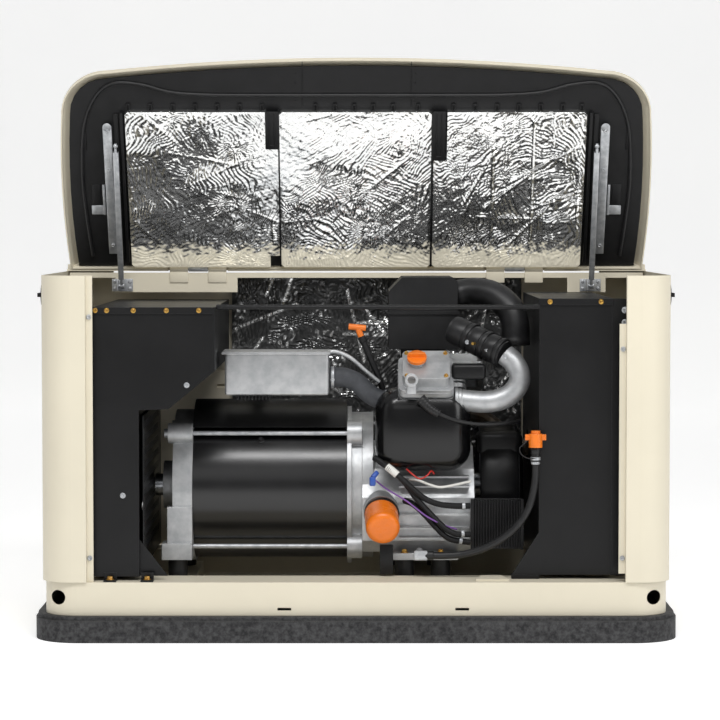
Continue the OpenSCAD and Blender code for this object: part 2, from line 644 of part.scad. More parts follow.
module fuel_regulator() color("#c3c5c8") {
    difference() {
        block([-256, -180, 464], [-53, -64, 546]);
        block([-254, -178, 462], [-55, -66, 544]);
    }
    block([-250, -170, 470], [-60, -70, 538]);
    block([-262, -182, 546], [-50, -60, 549]);
    for (k = [0:9]) block([-231 + 6.8 * k, -180, 456], [-228 + 6.8 * k, -150, 466]);
    // inlet pipe out through the back, with its coupling
    translate([fuel_in[0], 0, fuel_in[1]]) difference() {
        union() {
            ycyl(13, -63.8, rear_y - 7);
            ycyl(16, rear_y - 12, rear_y + 12);
        }
        ycyl(10, rear_y - 14, rear_y + 13);
    }
    // strap to the engine
    rod_between([-45.5, -128, 545.2], [48, -128, 486], 4);
}
module fuel_hose() color("#3c3e42") {
    hose([[-47, -142, 498], [-36, -142, 498], [-21, -142, 497], [2, -142, 487], [21, -142, 469], [43, -142, 455],
        [64, -142, 450]], 19, 14, 2);
    translate([64.2, -142, 450]) rotate([0, 90, 0]) cylinder(r = 12, h = 16);
}

module muffler() color("#8a8378") {
    // can with its inlet on the left and the tail pipe, open to the inside, on the right
    difference() {
        union() {
            translate([422, 0, 300]) {
                ycyl(58, -200, 180);
                ycyl(60, -120, -112);
                ycyl(60, 100, 108);
            }
            translate([0, 40, 300]) xcyl(36, 440, 560);
            translate([0, 100, 340]) xcyl(18, 354, 422);
        }
        translate([422, 0, 300]) ycyl(56, -198, 178);
        translate([0, 40, 300]) xcyl(33, 440, 561);
    }
    for (y = [-60, 120]) difference() {
        block([400, y - 8, 124.2], [444, y + 8, 260]);
        translate([422, 0, 300]) ycyl(57, y - 9, y + 9);
    }
    hose([[228, 176, 404], [256, 187, 398], [286, 190, 380], [312, 178, 358], [332, 144, 344], [344, 112, 340],
        [356, 100, 340]], 17, 10, 2, [0, 0, 1]);
}

module starter_motor() color("#2b2c2e") translate([0, 212, 214]) {
    xcyl(37, 60, 190);
    xcyl(30, 190, 214);
    translate([0, 20, 42]) xcyl(22, 80, 160);
    block([64, -54, -18], [90, -30, 18]);
}

module drain_hose() color("#1b1c1d") {
    hose([[138, -236, 158], [168, -240, 158], [203, -246, 161], [236, -254, 170], [265, -262, 184], [292, -268, 203],
        [314, -272, 226], [331, -272, 254], [340, -272, 286], [344, -272, 318], drain_end], 7, 10, 2);
    // brass-coloured elbow in the sump, and the tethered neck on the far end
    block([112, -244, 149], [137.8, -228, 167]);
    translate([124, 0, 158]) ycyl(7, -230, -166.2);
    translate(drain_end + [0, 0, 0.2]) cylinder(r = 9, h = 22);
    translate(drain_end + [0, 0, 22.2]) difference() {
        cylinder(r = 7, h = 14);
        cylinder(r = 4, h = 15);
    }
}
module drain_cap() color("#e8792b") translate(drain_end + [0, 0, 36.4]) {
    difference() {
        translate([0, 0, -12]) cylinder(r = 13, h = 26);
        translate([0, 0, -13]) cylinder(r = 7.06, h = 13.2);
    }
    translate([-20, -4, 2]) cube([40, 8, 11]);
    translate([0, 0, 14]) cylinder(r = 9, h = 6);
}

module rubber_mounts() color("#161617") for (m = mount_spots, y = [-1, 1]) translate([m[0], y * m[1], 92.2]) {
    cylinder(r = 19, h = 47.6);
}

// ---------- electrics ----------

module controller() color("#26282b") {
    block([-486, -236, 476], [-348, -186, 612]);
    block([-470, -240, 540], [-364, -236, 590]);
    // three membrane keys under the display
    for (k = [0:2]) translate([-452 + 34 * k, 0, 506]) ycyl(9, -240, -236);
}
module main_breaker() color("#202022") {
    block([-470, -90, 470], [-396, -20, 610]);
    block([-458, -106, 510], [-448, -90, 570]);
    block([-418, -106, 510], [-408, -90, 570]);
}
module breaker_lever() color("#101011") translate([-433, -98.5, 540]) {
    xcyl(8, -12, 12);
    rotate([60, 0, 0]) translate([-9, -4, 0]) cube([18, 8, 30]);
}

// Harness: conduits, the plug lead and the thin sensor wires, each one a swept cord.
module wiring() color("#1a1b1d") {
    hose([[36, -180, 342], [54, -208, 332], [80, -216, 312], [106, -212, 288], [132, -206, 266], [160, -202, 254],
        [194, -200, 250], [222, -196, 250]], 6, 8, 2);
    hose([[84, -190, 306], [96, -196, 294], [118, -204, 264], [146, -208, 234], [172, -208, 208], [194, -204, 196],
        [222, -196, 194]], 6, 8, 2);
    hose([[94, -172, 258], [112, -190, 252], [134, -198, 232], [156, -202, 208], [182, -200, 186], [222, -194, 178]],
        6.5, 8, 2);
    // plug boot and its lead
    hose([[124, -229, 462], [134, -231, 451], [146, -233, 440], [160, -233, 432]], 9, 8, 2);
    hose([[160.5, -233, 432], [190, -230, 420], [224, -216, 412], [262, -200, 409], [300, -184, 411], [320, -168, 414]],
        3.5, 8, 2);
    // sensor wires
    hose([[34, -170, 300], [60, -192, 282], [96, -210, 262], [136, -214, 232], [170, -210, 214], [196, -196, 204]],
        1.6, 6, 2);
    hose([[104, -176, 300], [124, -186, 300], [146, -186, 290], [160, -184, 284], [224, -176, 296]], 3, 6, 2);
}

module fasteners() color("#d9c48a") {
    // compartment front and top lip
    for (x = [-498, -476, -425, -362, -300]) screw_y(4, x, -279.2, 633);
    screw_y(5.5, -324, -275.2, 490);
    screw_y(5.5, -447, -275.2, 278);
    // exhaust box lip
    for (x = [372, 470]) screw_y(4, x, -254.2, 649);
    // flange screws of the front opening
    for (z = [621, 160]) screw_y(5, -509, front_y + 11.8, z);
    for (z = [160, 560]) screw_y(5, 509, front_y + 11.8, z);
    // foot bolts on the tray
    for (x = [-471, -400]) translate([x, -287, 117.4]) screw_head(7);
    translate([314, -238, 122]) screw_head(8);
    // mount nuts above the feet
    for (m = mount_spots, y = [-1, 1]) if (m[0] > 0) translate([m[0], y * 156, 153.2]) cylinder(r = 7, h = 6, $fn = 6);
}

mount_pad();
base_tray();
left_end_panel();
right_end_panel();
rear_panel();
roof_cap();
cross_bar();
rear_insulation();
control_compartment();
intake_screen();
exhaust_box();
hinge_brackets();
lid_shell();
lid_liner();
lid_gasket();
lid_insulation();
lid_brackets();
left_stay();
right_stay();
left_lock();
right_lock();
stator_can();
alternator_hood();
stator_core();
rotor();
bearing_carrier();
rear_bearing();
tie_rods();
engine_adapter();
crankcase();
crankshaft();
cylinders();
cylinder_heads();
valve_covers();
flywheel_fan();
engine_shroud();
cooling_duct();
oil_filter();
oil_fill_cap();
dipstick();
dipstick_tube();
oil_cooler();
intake_pipe();
mixer();
throttle_plate();
air_box();
air_filter();
air_elbow();
fuel_regulator();
fuel_hose();
muffler();
starter_motor();
drain_hose();
drain_cap();
rubber_mounts();
controller();
main_breaker();
breaker_lever();
wiring();
fasteners();
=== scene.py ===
"""Looks of a home standby generator with its lid open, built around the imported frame."""
import contextlib
import json
import math

import bpy
import numpy as np
from mathutils import Matrix, Vector


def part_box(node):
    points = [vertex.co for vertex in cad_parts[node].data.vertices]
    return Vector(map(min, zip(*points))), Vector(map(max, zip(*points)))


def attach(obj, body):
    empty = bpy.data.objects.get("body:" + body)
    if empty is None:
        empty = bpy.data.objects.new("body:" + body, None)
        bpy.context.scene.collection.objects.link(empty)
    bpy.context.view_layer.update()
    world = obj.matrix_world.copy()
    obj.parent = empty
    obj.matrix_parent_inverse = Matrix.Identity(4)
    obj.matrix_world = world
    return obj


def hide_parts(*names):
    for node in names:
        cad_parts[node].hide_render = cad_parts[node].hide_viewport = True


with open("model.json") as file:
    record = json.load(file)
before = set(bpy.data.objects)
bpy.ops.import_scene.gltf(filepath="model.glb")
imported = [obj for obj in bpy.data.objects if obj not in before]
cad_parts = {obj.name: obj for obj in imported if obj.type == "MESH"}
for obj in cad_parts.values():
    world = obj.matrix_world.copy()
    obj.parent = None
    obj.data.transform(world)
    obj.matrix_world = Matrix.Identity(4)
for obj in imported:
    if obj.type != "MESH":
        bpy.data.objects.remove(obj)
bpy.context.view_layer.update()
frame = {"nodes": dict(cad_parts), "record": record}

bl_info = {
    "name": "Standby Generator Looks",
    "version": (1, 0, 0),
    "blender": (4, 5, 0),
    "location": "View3D > Sidebar > Generator",
    "description": "Models the trim, foil, hoses and finishes of a home standby generator",
    "category": "Add Mesh",
}

MM = 0.001
ROOT = "enclosure"
IDENTITY = Matrix.Identity(4)
# Places and sizes in millimetres that several pieces share, and the lid's opening angle.
LID_ANGLE = math.radians(62)
HINGE_X, HINGE_Y, HINGE_Z = (-330, 330), 195, 704
STAY_X, STAY_Y, STAY_Z = 488, 175, 670
CHANNEL_X = 504
CORNER_RADIUS = 95
AXLE_Z = 273
FOIL_WIDTH, FOIL_DEPTH = 308, 356
FRONT, UP = (0, -1, 0), (0, 0, 1)
LID_FRAME = Matrix.Translation((0, HINGE_Y * MM, HINGE_Z * MM)) @ Matrix.Rotation(-LID_ANGLE, 4, "X")


# ---------- colours and materials ----------

def linear(code):
    """Linear colour, with alpha, from an sRGB hex value such as "d9cfb8" or from a linear triple."""
    if not isinstance(code, str):
        return list(code)[:3] + [1.0]
    parts = [int(code[i:i + 2], 16) / 255 for i in (0, 2, 4)]
    return [c / 12.92 if c <= 0.04045 else ((c + 0.055) / 1.055) ** 2.4 for c in parts] + [1.0]


def put(tree, kind, values=None, links=None, **settings):
    """Adds one shader node with its settings, its socket values and its incoming links."""
    item = tree.nodes.new(kind)
    for key, value in settings.items():
        setattr(item, key, value)
    for socket, value in (values or {}).items():
        item.inputs[socket].default_value = value
    for socket, source in (links or {}).items():
        tree.links.new(source, item.inputs[socket])
    return item


def finish(name, colour, other, patch=80, grain=1.0, bump=0.05, rough=0.5, spread=0.1, edge=1.0,
           rub=None, grain_kind="ShaderNodeTexNoise", stretch=(1, 1, 1), **sockets):
    """A surface whose colour drifts to another in soft patches, with a grain of a real width and
    depth in millimetres, edges rounded to the light, and, where rub is given, edges worn to it."""
    material = bpy.data.materials.new(name)
    material.use_nodes = True
    tree = material.node_tree
    shader = tree.nodes["Principled BSDF"]
    place = put(tree, "ShaderNodeTexCoord")
    aim = put(tree, "ShaderNodeMapping", {"Scale": stretch}, {"Vector": place.outputs["Object"]})
    cloud = put(tree, "ShaderNodeTexNoise", {"Scale": 1000 / patch, "Detail": 4.0, "Roughness": 0.6},
                {"Vector": place.outputs["Object"]})
    drift = put(tree, "ShaderNodeMapRange", {"From Min": 0.35, "From Max": 0.65},
                {"Value": cloud.outputs[0]})
    tint = put(tree, "ShaderNodeMix", {6: linear(colour), 7: linear(other)},
               {0: drift.outputs[0]}, data_type="RGBA")
    tree.links.new(tint.outputs[2], shader.inputs["Base Color"])
    matt = put(tree, "ShaderNodeMapRange",
               {"To Min": max(rough - spread, 0.02), "To Max": min(rough + spread, 1.0)},
               {"Value": cloud.outputs[0]})
    tree.links.new(matt.outputs[0], shader.inputs["Roughness"])
    rounded = put(tree, "ShaderNodeBevel", {"Radius": edge * MM}, samples=4)
    fine = put(tree, grain_kind, {"Scale": 1000 / grain}, {"Vector": aim.outputs[0]})
    relief = put(tree, "ShaderNodeBump", {"Distance": bump * MM, "Strength": 1.0},
                 {"Height": fine.outputs[0], "Normal": rounded.outputs[0]})
    tree.links.new(relief.outputs[0], shader.inputs["Normal"])
    if rub:
        flat = put(tree, "ShaderNodeNewGeometry")
        turn = put(tree, "ShaderNodeVectorMath", None, {0: rounded.outputs[0], 1: flat.outputs["Normal"]},
                   operation="DOT_PRODUCT")
        worn = put(tree, "ShaderNodeMapRange",
                   {"From Min": 0.995, "From Max": 0.85, "To Min": 0.0, "To Max": 0.7},
                   {"Value": turn.outputs["Value"]})
        bare = put(tree, "ShaderNodeMix", {7: linear(rub)}, {0: worn.outputs[0], 6: tint.outputs[2]},
                   data_type="RGBA")
        tree.links.new(bare.outputs[2], shader.inputs["Base Color"])
    for socket, value in sockets.items():
        shader.inputs[socket.replace("_", " ").title().replace("Ior", "IOR")].default_value = value
    return material


def shade_foil(tree):
    """Uses a foil panel's own attributes to paint a reflection of the cream roof strip, with a glow, along
    its lower edge, and to paint shade over its shaded parts.
    """
    shader = tree.nodes["Principled BSDF"]
    # Two painted marks: shade in dark grey, and a cream reflection of the roof strip along the lower edge.
    for name, code, metal in (("painted_shade", "1b1b1c", 0.5), ("warm", "f3ecd8", 0.35)):
        mark = put(tree, "ShaderNodeAttribute", attribute_name=name)
        colour = shader.inputs["Base Color"].links[0].from_socket
        mix = put(tree, "ShaderNodeMix", {7: linear(code)}, {0: mark.outputs["Fac"], 6: colour},
                  data_type="RGBA")
        tree.links.new(mix.outputs[2], shader.inputs["Base Color"])
        gloss = put(tree, "ShaderNodeMix", {2: 0.96, 3: metal}, {0: mark.outputs["Fac"]})
        if shader.inputs["Metallic"].links:
            tree.links.new(shader.inputs["Metallic"].links[0].from_socket, gloss.inputs[2])
        tree.links.new(gloss.outputs[0], shader.inputs["Metallic"])
    # Light that the cream roof strip throws back on the foil's lower edge.
    shader.inputs["Emission Color"].default_value = linear("efe8d2")
    glow = put(tree, "ShaderNodeMath", {1: 0.3}, {0: mark.outputs["Fac"]}, operation="MULTIPLY")
    tree.links.new(glow.outputs[0], shader.inputs["Emission Strength"])


def make_materials(settings):
    """Every finish on the machine, named by its record slot."""
    kit = {}
    body, cap = list(settings.body_colour), list(settings.cap_colour)
    # Moulded composite: dusty black skin with a coarse pebble, 7 mm across so that it shows.
    kit["pad_composite"] = finish("moulded_black_composite", "1a1a1c", "454546", patch=9, grain=6,
                                  bump=1.3, rough=0.66, spread=0.12, edge=4, rub="4a4a48",
                                  specular_ior_level=0.35)
    # Polyester powder coat on pressed steel: warm cream, faint orange peel about 2 mm wide.
    kit["cream_paint"] = finish("cream_powder_coat", body, [c * 0.95 for c in body], patch=260,
                                grain=2.2, bump=0.03, rough=0.45, spread=0.05, edge=1.6)
    # Satin black powder coat: pebbled, soft highlights, greyer along bent edges.
    kit["black_paint"] = finish("black_powder_coat", "0f0f10", "151516", patch=120, grain=1.6,
                                bump=0.1, rough=0.36, spread=0.06, edge=1.2, rub="2b2b2d",
                                specular_ior_level=0.3)
    # Reinforced aluminium foil over foam: bright, with a fine crinkle of about 2 mm.
    kit["foil_foam"] = finish("crinkled_aluminium_foil", "f4f4f2", "e8e9e9", patch=60, grain=3.0,
                              bump=0.12, rough=0.13, spread=0.06, edge=0.4, metallic=0.96)
    shade_foil(kit["foil_foam"].node_tree)
    # Zinc plated steel: pale grey metal with cloudy passivation.
    kit["zinc_steel"] = finish("zinc_plated_steel", "c6c8ca", "a6a9ad", patch=14, grain=0.9,
                               bump=0.03, rough=0.36, spread=0.12, edge=0.8, metallic=0.55)
    # Yellow chromated zinc: iridescent brass-like tint on the screws.
    kit["yellow_zinc"] = finish("yellow_chromated_zinc", "cfa64b", "b98f55", patch=5, grain=0.7,
                                bump=0.03, rough=0.3, spread=0.1, edge=0.5, metallic=0.9)
    # Glass-filled nylon: matt black, moulded with a light spark texture.
    kit["black_plastic"] = finish("moulded_black_nylon", "141415", "1b1b1c", patch=40, grain=1.1,
                                  bump=0.06, rough=0.5, spread=0.08, edge=1.2, specular_ior_level=0.3)
    # Polypropylene from a polished mould: deep black and glossy.
    kit["gloss_black"] = finish("polished_black_polypropylene", "0a0a0b", "0f0f10", patch=60, grain=5,
                                bump=0.03, rough=0.2, spread=0.05, edge=2.0, specular_ior_level=0.45)
    # Nitrile rubber hose: matt black, a bloom of grey in patches.
    kit["rubber"] = finish("black_nitrile_rubber", "151516", "202021", patch=18, grain=0.9,
                           bump=0.05, rough=0.42, spread=0.1, edge=0.8, specular_ior_level=0.4)
    # Fuel hose and mounts: dark grey rubber with a dusty bloom.
    kit["grey_rubber"] = finish("dusty_grey_rubber", "3a3c40", "47494d", patch=12, grain=0.8,
                                bump=0.08, rough=0.6, spread=0.12, edge=1.5, specular_ior_level=0.4)
    # Sand and die cast aluminium: silver grey, rough grain near 1.2 mm.
    kit["cast_aluminium"] = finish("die_cast_aluminium", "c0c1c2", "aaacae", patch=26, grain=1.2,
                                   bump=0.12, rough=0.44, spread=0.1, edge=1.5, metallic=0.7, rub="dcdddd")
    # Machined and bright drawn steel.
    kit["steel"] = finish("bright_drawn_steel", "b4b7bb", "989ca1", patch=30, grain=0.8, bump=0.02,
                          rough=0.24, spread=0.08, edge=0.6, metallic=0.95, stretch=(0.08, 1, 1))
    # Enamelled copper wire under varnish, over laminated iron.
    kit["copper_winding"] = finish("varnished_copper_winding", "8b4f2c", "5f3a26", patch=12, grain=1.4,
                                   bump=0.3, rough=0.35, spread=0.1, edge=0.6, metallic=0.6,
                                   stretch=(0.1, 1, 1))
    # ABS caps and grips in safety orange, paler where handled.
    kit["orange_plastic"] = finish("moulded_orange_abs", cap, [c * 0.82 for c in cap], patch=20,
                                   grain=1.0, bump=0.04, rough=0.36, spread=0.06, edge=1.0, rub="f2a162")
    # Baked enamel on the filter can.
    kit["orange_paint"] = finish("baked_orange_enamel", [c * 0.96 for c in cap], [c * 0.85 for c in cap],
                                 patch=30, grain=2.0, bump=0.03, rough=0.28, spread=0.06, edge=1.0)
    # Pleated cellulose.
    kit["filter_paper"] = finish("pleated_filter_paper", "d8c48f", "c9b27c", patch=30, grain=1.0,
                                 bump=0.2, rough=0.85, spread=0.08, edge=0.4)
    # Aluminised steel, browned by heat.
    kit["exhaust_steel"] = finish("heat_tinted_aluminised_steel", "8f8c88", "6d5f50", patch=40,
                                  grain=1.4, bump=0.08, rough=0.42, spread=0.12, edge=0.8, metallic=0.9)
    # Rolled brass plate.
    kit["brass_plate"] = finish("machined_brass", "c9a35a", "b48d45", patch=12, grain=0.8, bump=0.02,
                                rough=0.28, spread=0.06, edge=0.5, metallic=0.95)
    return kit


SLOT_OF = {row["node"]: row["material_slot"] for row in frame["record"]["subparts"]}
KIT = {}


# ---------- modelling helpers ----------

def clear_selection():
    """Leaves edit mode and selects nothing."""
    if bpy.context.object and bpy.context.object.mode != "OBJECT":
        bpy.ops.object.mode_set(mode="OBJECT")
    bpy.ops.object.select_all(action="DESELECT")


@contextlib.contextmanager
def editing():
    """Edit mode for the lines inside."""
    bpy.ops.object.mode_set(mode="EDIT")
    yield
    bpy.ops.object.mode_set(mode="OBJECT")


def only(obj):
    """Makes one object the whole selection."""
    clear_selection()
    obj.select_set(True)
    bpy.context.view_layer.objects.active = obj
    return obj


def settle(obj, where=IDENTITY):
    """Puts a piece at its place and leaves its object at the origin, unturned and unscaled."""
    only(obj)
    obj.matrix_world = where @ obj.matrix_world
    bpy.ops.object.transform_apply(location=True, rotation=True, scale=True)
    return obj


def join(name, pieces):
    """Joins pieces into the first one and names it."""
    clear_selection()
    for piece in pieces:
        piece.select_set(True)
    bpy.context.view_layer.objects.active = pieces[0]
    if len(pieces) > 1:
        bpy.ops.object.join()
    whole = bpy.context.object
    whole.name = name
    return whole


def modify(obj, kind, **settings):
    """Adds a modifier and applies it."""
    only(obj)
    item = obj.modifiers.new(kind.lower(), kind)
    for key, value in settings.items():
        setattr(item, key, value)
    bpy.ops.object.modifier_apply(modifier=item.name)
    return obj


def cut(obj, cutters, **settings):
    """Takes each cutter away from a piece, and removes the cutter."""
    for cutter in cutters:
        modify(obj, "BOOLEAN", operation="DIFFERENCE", object=cutter, solver="EXACT", **settings)
        bpy.data.objects.remove(cutter)


def face_out(obj):
    """Turns every face of a closed shell outwards."""
    only(obj)
    with editing():
        bpy.ops.mesh.select_all(action="SELECT")
        bpy.ops.mesh.normals_make_consistent(inside=False)
    return obj


def solid(name, points, faces):
    """A closed shell from its points in metres and its faces."""
    mesh = bpy.data.meshes.new(name)
    mesh.from_pydata(points, [], faces)
    shell = bpy.data.objects.new(name, mesh)
    bpy.context.scene.collection.objects.link(shell)
    return face_out(shell)


def ring_faces(pairs, count):
    """Four-sided faces between pairs of rings that have count points each."""
    return [(a * count + j, a * count + (j + 1) % count, b * count + (j + 1) % count, b * count + j)
            for a, b in pairs for j in range(count)]


def paint(obj, material):
    """Gives a piece one material and no other."""
    obj.data.materials.clear()
    obj.data.materials.append(material)


def dress(obj, name, body, slot, *replaced, smooth=35):
    """Names a piece, smooths it up to an angle, gives it its finish and body, and hides the CAD nodes that it
    stands in for.
    """
    obj.name = name
    obj.data.name = name
    paint(obj, KIT[slot])
    only(obj)
    bpy.ops.object.shade_smooth_by_angle(angle=math.radians(smooth))
    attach(obj, body)
    if replaced:
        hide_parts(*replaced)
    return obj


def fixed(name, parts, slot, *replaced):
    """Joins parts into one piece of the enclosure."""
    return dress(join(name, parts), name, ROOT, slot, *replaced)


def on_lid(name, parts, slot, *replaced, smooth=35):
    """Joins parts, made in the lid's own frame, into one piece of the lid."""
    return dress(settle(join(name, parts), LID_FRAME), name, "lid", slot, *replaced, smooth=smooth)


def block(low, high, round_edge=1.0, steps=2):
    """A bar between two corners in millimetres, with its edges bevelled."""
    low, high = Vector(low) * MM, Vector(high) * MM
    clear_selection()
    bpy.ops.mesh.primitive_cube_add(size=1, location=(low + high) / 2)
    bar = bpy.context.object
    bar.scale = high - low
    bpy.ops.object.transform_apply(location=True, rotation=True, scale=True)
    if round_edge:
        with editing():
            bpy.ops.mesh.select_all(action="SELECT")
            bpy.ops.mesh.bevel(offset=round_edge * MM, segments=steps, profile=0.5, affect="EDGES")
    return bar


def drum(radius, start, end, round_edge=1.0, sides=48, hollow=0):
    """A turned cylinder between two points in millimetres, its rims bevelled; hollow is a bore."""
    start, end = Vector(start) * MM, Vector(end) * MM
    along = end - start
    clear_selection()
    bpy.ops.mesh.primitive_cylinder_add(vertices=sides, radius=radius * MM, depth=along.length,
                                        end_fill_type="NOTHING" if hollow else "NGON")
    item = bpy.context.object
    if hollow:
        modify(item, "SOLIDIFY", thickness=(radius - hollow) * MM, offset=-1)
    if round_edge:
        modify(item, "BEVEL", width=round_edge * MM, segments=2, limit_method="ANGLE",
               angle_limit=math.radians(50))
    aim = along.to_track_quat("Z", "Y").to_matrix().to_4x4()
    item.matrix_world = Matrix.Translation((start + end) / 2) @ aim
    return settle(item)


def bolt(spot, way, across=5.0, kind="hex"):
    """A flanged screw head at a place in millimetres, pointing along way: hex or pan head."""
    way = Vector(way).normalized()
    spot = Vector(spot)
    flange = drum(across, spot, spot + way * across * 0.22, across * 0.08, 24)
    sides = 6 if kind == "hex" else 24
    head = drum(across * 0.72, spot + way * across * 0.2, spot + way * across * 0.85,
                across * (0.1 if kind == "hex" else 0.25), sides)
    only(head)
    head_top = spot * MM + way * across * 0.85 * MM
    with editing():
        bpy.ops.mesh.select_all(action="DESELECT")
    for face in head.data.polygons:
        face.select = face.normal.dot(way) > 0.99 and (face.center - head_top).length < across * 0.3 * MM
    with editing():
        bpy.ops.mesh.select_mode(type="FACE")
        bpy.ops.mesh.inset(thickness=across * 0.22 * MM)
        bpy.ops.transform.translate(value=-way * across * 0.2 * MM)
        bpy.ops.mesh.select_mode(type="VERT")
    return join("screw", [flange, head])


def curve_points(points, step):
    """Even points in millimetres on the smooth curve through the given ones."""
    p = np.array(points, float)
    p = np.vstack([2 * p[0] - p[1], p, 2 * p[-1] - p[-2]])
    dense = []
    for i in range(1, len(p) - 2):
        a, b, c, d = p[i - 1:i + 3]
        t = np.linspace(0, 1, 24, endpoint=False)[:, None]
        dense.append(0.5 * (2 * b + (c - a) * t + (2 * a - 5 * b + 4 * c - d) * t ** 2
                            + (3 * b - a - 3 * c + d) * t ** 3))
    dense = np.vstack(dense + [p[-2:-1]])
    run = np.concatenate([[0], np.cumsum(np.linalg.norm(np.diff(dense, axis=0), axis=1))])
    even = np.linspace(0, run[-1], max(int(run[-1] / step), 2) + 1)
    return np.stack([np.interp(even, run, dense[:, k]) for k in range(3)], axis=1), even


def sweep(points, radius, sides=20, step=3.0, rib=None, swell=None):
    """A hose along a curve in millimetres. rib is (pitch, depth) of its corrugation, and swell a
    function of the run, from 0 to 1, that changes its radius."""
    path, run = curve_points(points, step)
    forward = np.gradient(path, axis=0)
    forward /= np.linalg.norm(forward, axis=1)[:, None]
    across = np.cross(forward[0], [0.31, 0.17, 0.93])
    rings = []
    for i, f in enumerate(forward):
        across = across - f * across.dot(f)
        across /= np.linalg.norm(across)
        up = np.cross(f, across)
        r = radius * (swell(run[i] / run[-1]) if swell else 1.0)
        if rib:
            r -= rib[1] * (0.5 + 0.5 * math.cos(2 * math.pi * run[i] / rib[0])) ** 0.6
        turn = np.arange(sides) * 2 * math.pi / sides
        rings.append(path[i] + r * (np.cos(turn)[:, None] * across + np.sin(turn)[:, None] * up))
    last = len(rings) - 1
    faces = ring_faces([(i, i + 1) for i in range(last)], sides)
    faces += [tuple(range(sides))[::-1], tuple(last * sides + j for j in range(sides))]
    return solid("hose", (np.vstack(rings) * MM).tolist(), faces)


def merged_copy(node):
    """A copy of a CAD node's mesh with its loose triangles joined, ready for smooth shading."""
    clear_selection()
    twin = bpy.data.objects.new(node + "_copy", frame["nodes"][node].data.copy())
    bpy.context.scene.collection.objects.link(twin)
    only(twin)
    with editing():
        bpy.ops.mesh.select_all(action="SELECT")
        bpy.ops.mesh.customdata_custom_splitnormals_clear()
        bpy.ops.mesh.remove_doubles(threshold=0.00002)
    return twin


# ---------- foil ----------

def ridge(phase, lean=0.34):
    """A wrinkle of two flat facets, one steep and one shallow, from 0 to 1."""
    part = phase % 1
    return np.minimum(part / lean, (1 - part) / (1 - lean))


def line_place(x, y, cx, cy, angle):
    """How far points lie along a line through a centre, and how far off it."""
    along = (x - cx) * math.cos(angle) + (y - cy) * math.sin(angle)
    return along, -(x - cx) * math.sin(angle) + (y - cy) * math.cos(angle)


def soft_noise(x, y, rng, size, count=10):
    """Smooth random field of about unit height whose swells are about size wide."""
    field = np.zeros_like(x)
    for _ in range(count):
        angle, phase = rng.uniform(0, 2 * math.pi, 2)
        pitch = size * rng.uniform(0.7, 1.6)
        field += np.sin(2 * math.pi * (x * math.cos(angle) + y * math.sin(angle)) / pitch + phase)
    return field / math.sqrt(count / 2)


def wrinkles(x, y, seed, calm=None, creases=(), spots=40):
    """Height in millimetres of crumpled foil: fields of parallel wrinkles that meet at creases,
    fans that spread from pulled points, long straight creases and broad swells."""
    rng = np.random.default_rng(seed)
    lo_x, hi_x, lo_y, hi_y = x.min(), x.max(), y.min(), y.max()
    bend_x = x + 5 * soft_noise(x, y, rng, 60)
    bend_y = y + 5 * soft_noise(x, y, rng, 60)
    weight = np.zeros_like(x)
    height = np.zeros_like(x)
    slow = soft_noise(x, y, rng, 160)
    for _ in range(spots):
        cx, cy = rng.uniform(lo_x, hi_x), rng.uniform(lo_y, hi_y)
        angle = rng.uniform(0, math.pi)
        pitch = rng.uniform(6.0, 10.5)
        deep = rng.uniform(1.5, 2.9)
        near = np.exp(-((bend_x - cx) ** 2 + (bend_y - cy) ** 2) / (2 * 30 ** 2)) ** 2
        if rng.random() < 0.28:
            phase = np.arctan2(y - cy, x - cx) / (2 * math.pi) * rng.integers(30, 52)
            phase = phase + 0.02 * np.hypot(x - cx, y - cy) * rng.uniform(-1, 1)
        else:
            phase = (bend_x * math.cos(angle) + bend_y * math.sin(angle)) / pitch + 0.35 * slow
        wave = ridge(phase, rng.uniform(0.25, 0.5)) * deep * pitch / 10
        near = near ** 1.5 + 1e-9
        weight += near
        height += near * wave
    height /= weight
    for _ in range(14):
        cx, cy, angle = rng.uniform(lo_x, hi_x), rng.uniform(lo_y, hi_y), rng.uniform(0, math.pi)
        along, off = line_place(x, y, cx, cy, angle)
        long = rng.uniform(30, 110)
        height += rng.uniform(0.8, 1.8) * np.exp(-np.abs(off) / 3.0) * np.clip(1 - (along / long) ** 2, 0, 1)
    for cx, cy, angle, long, high in creases:
        along, off = line_place(x, y, cx, cy, math.radians(angle))
        height += high * np.clip(1 - np.abs(off) / 4, 0, 1) * (np.abs(along) < long)
    if calm is not None:
        height *= calm(x, y)
    for high, size in ((0.8, 120), (0.22, 18), (0.14, 8)):
        height += high * soft_noise(x, y, rng, size)
    return height


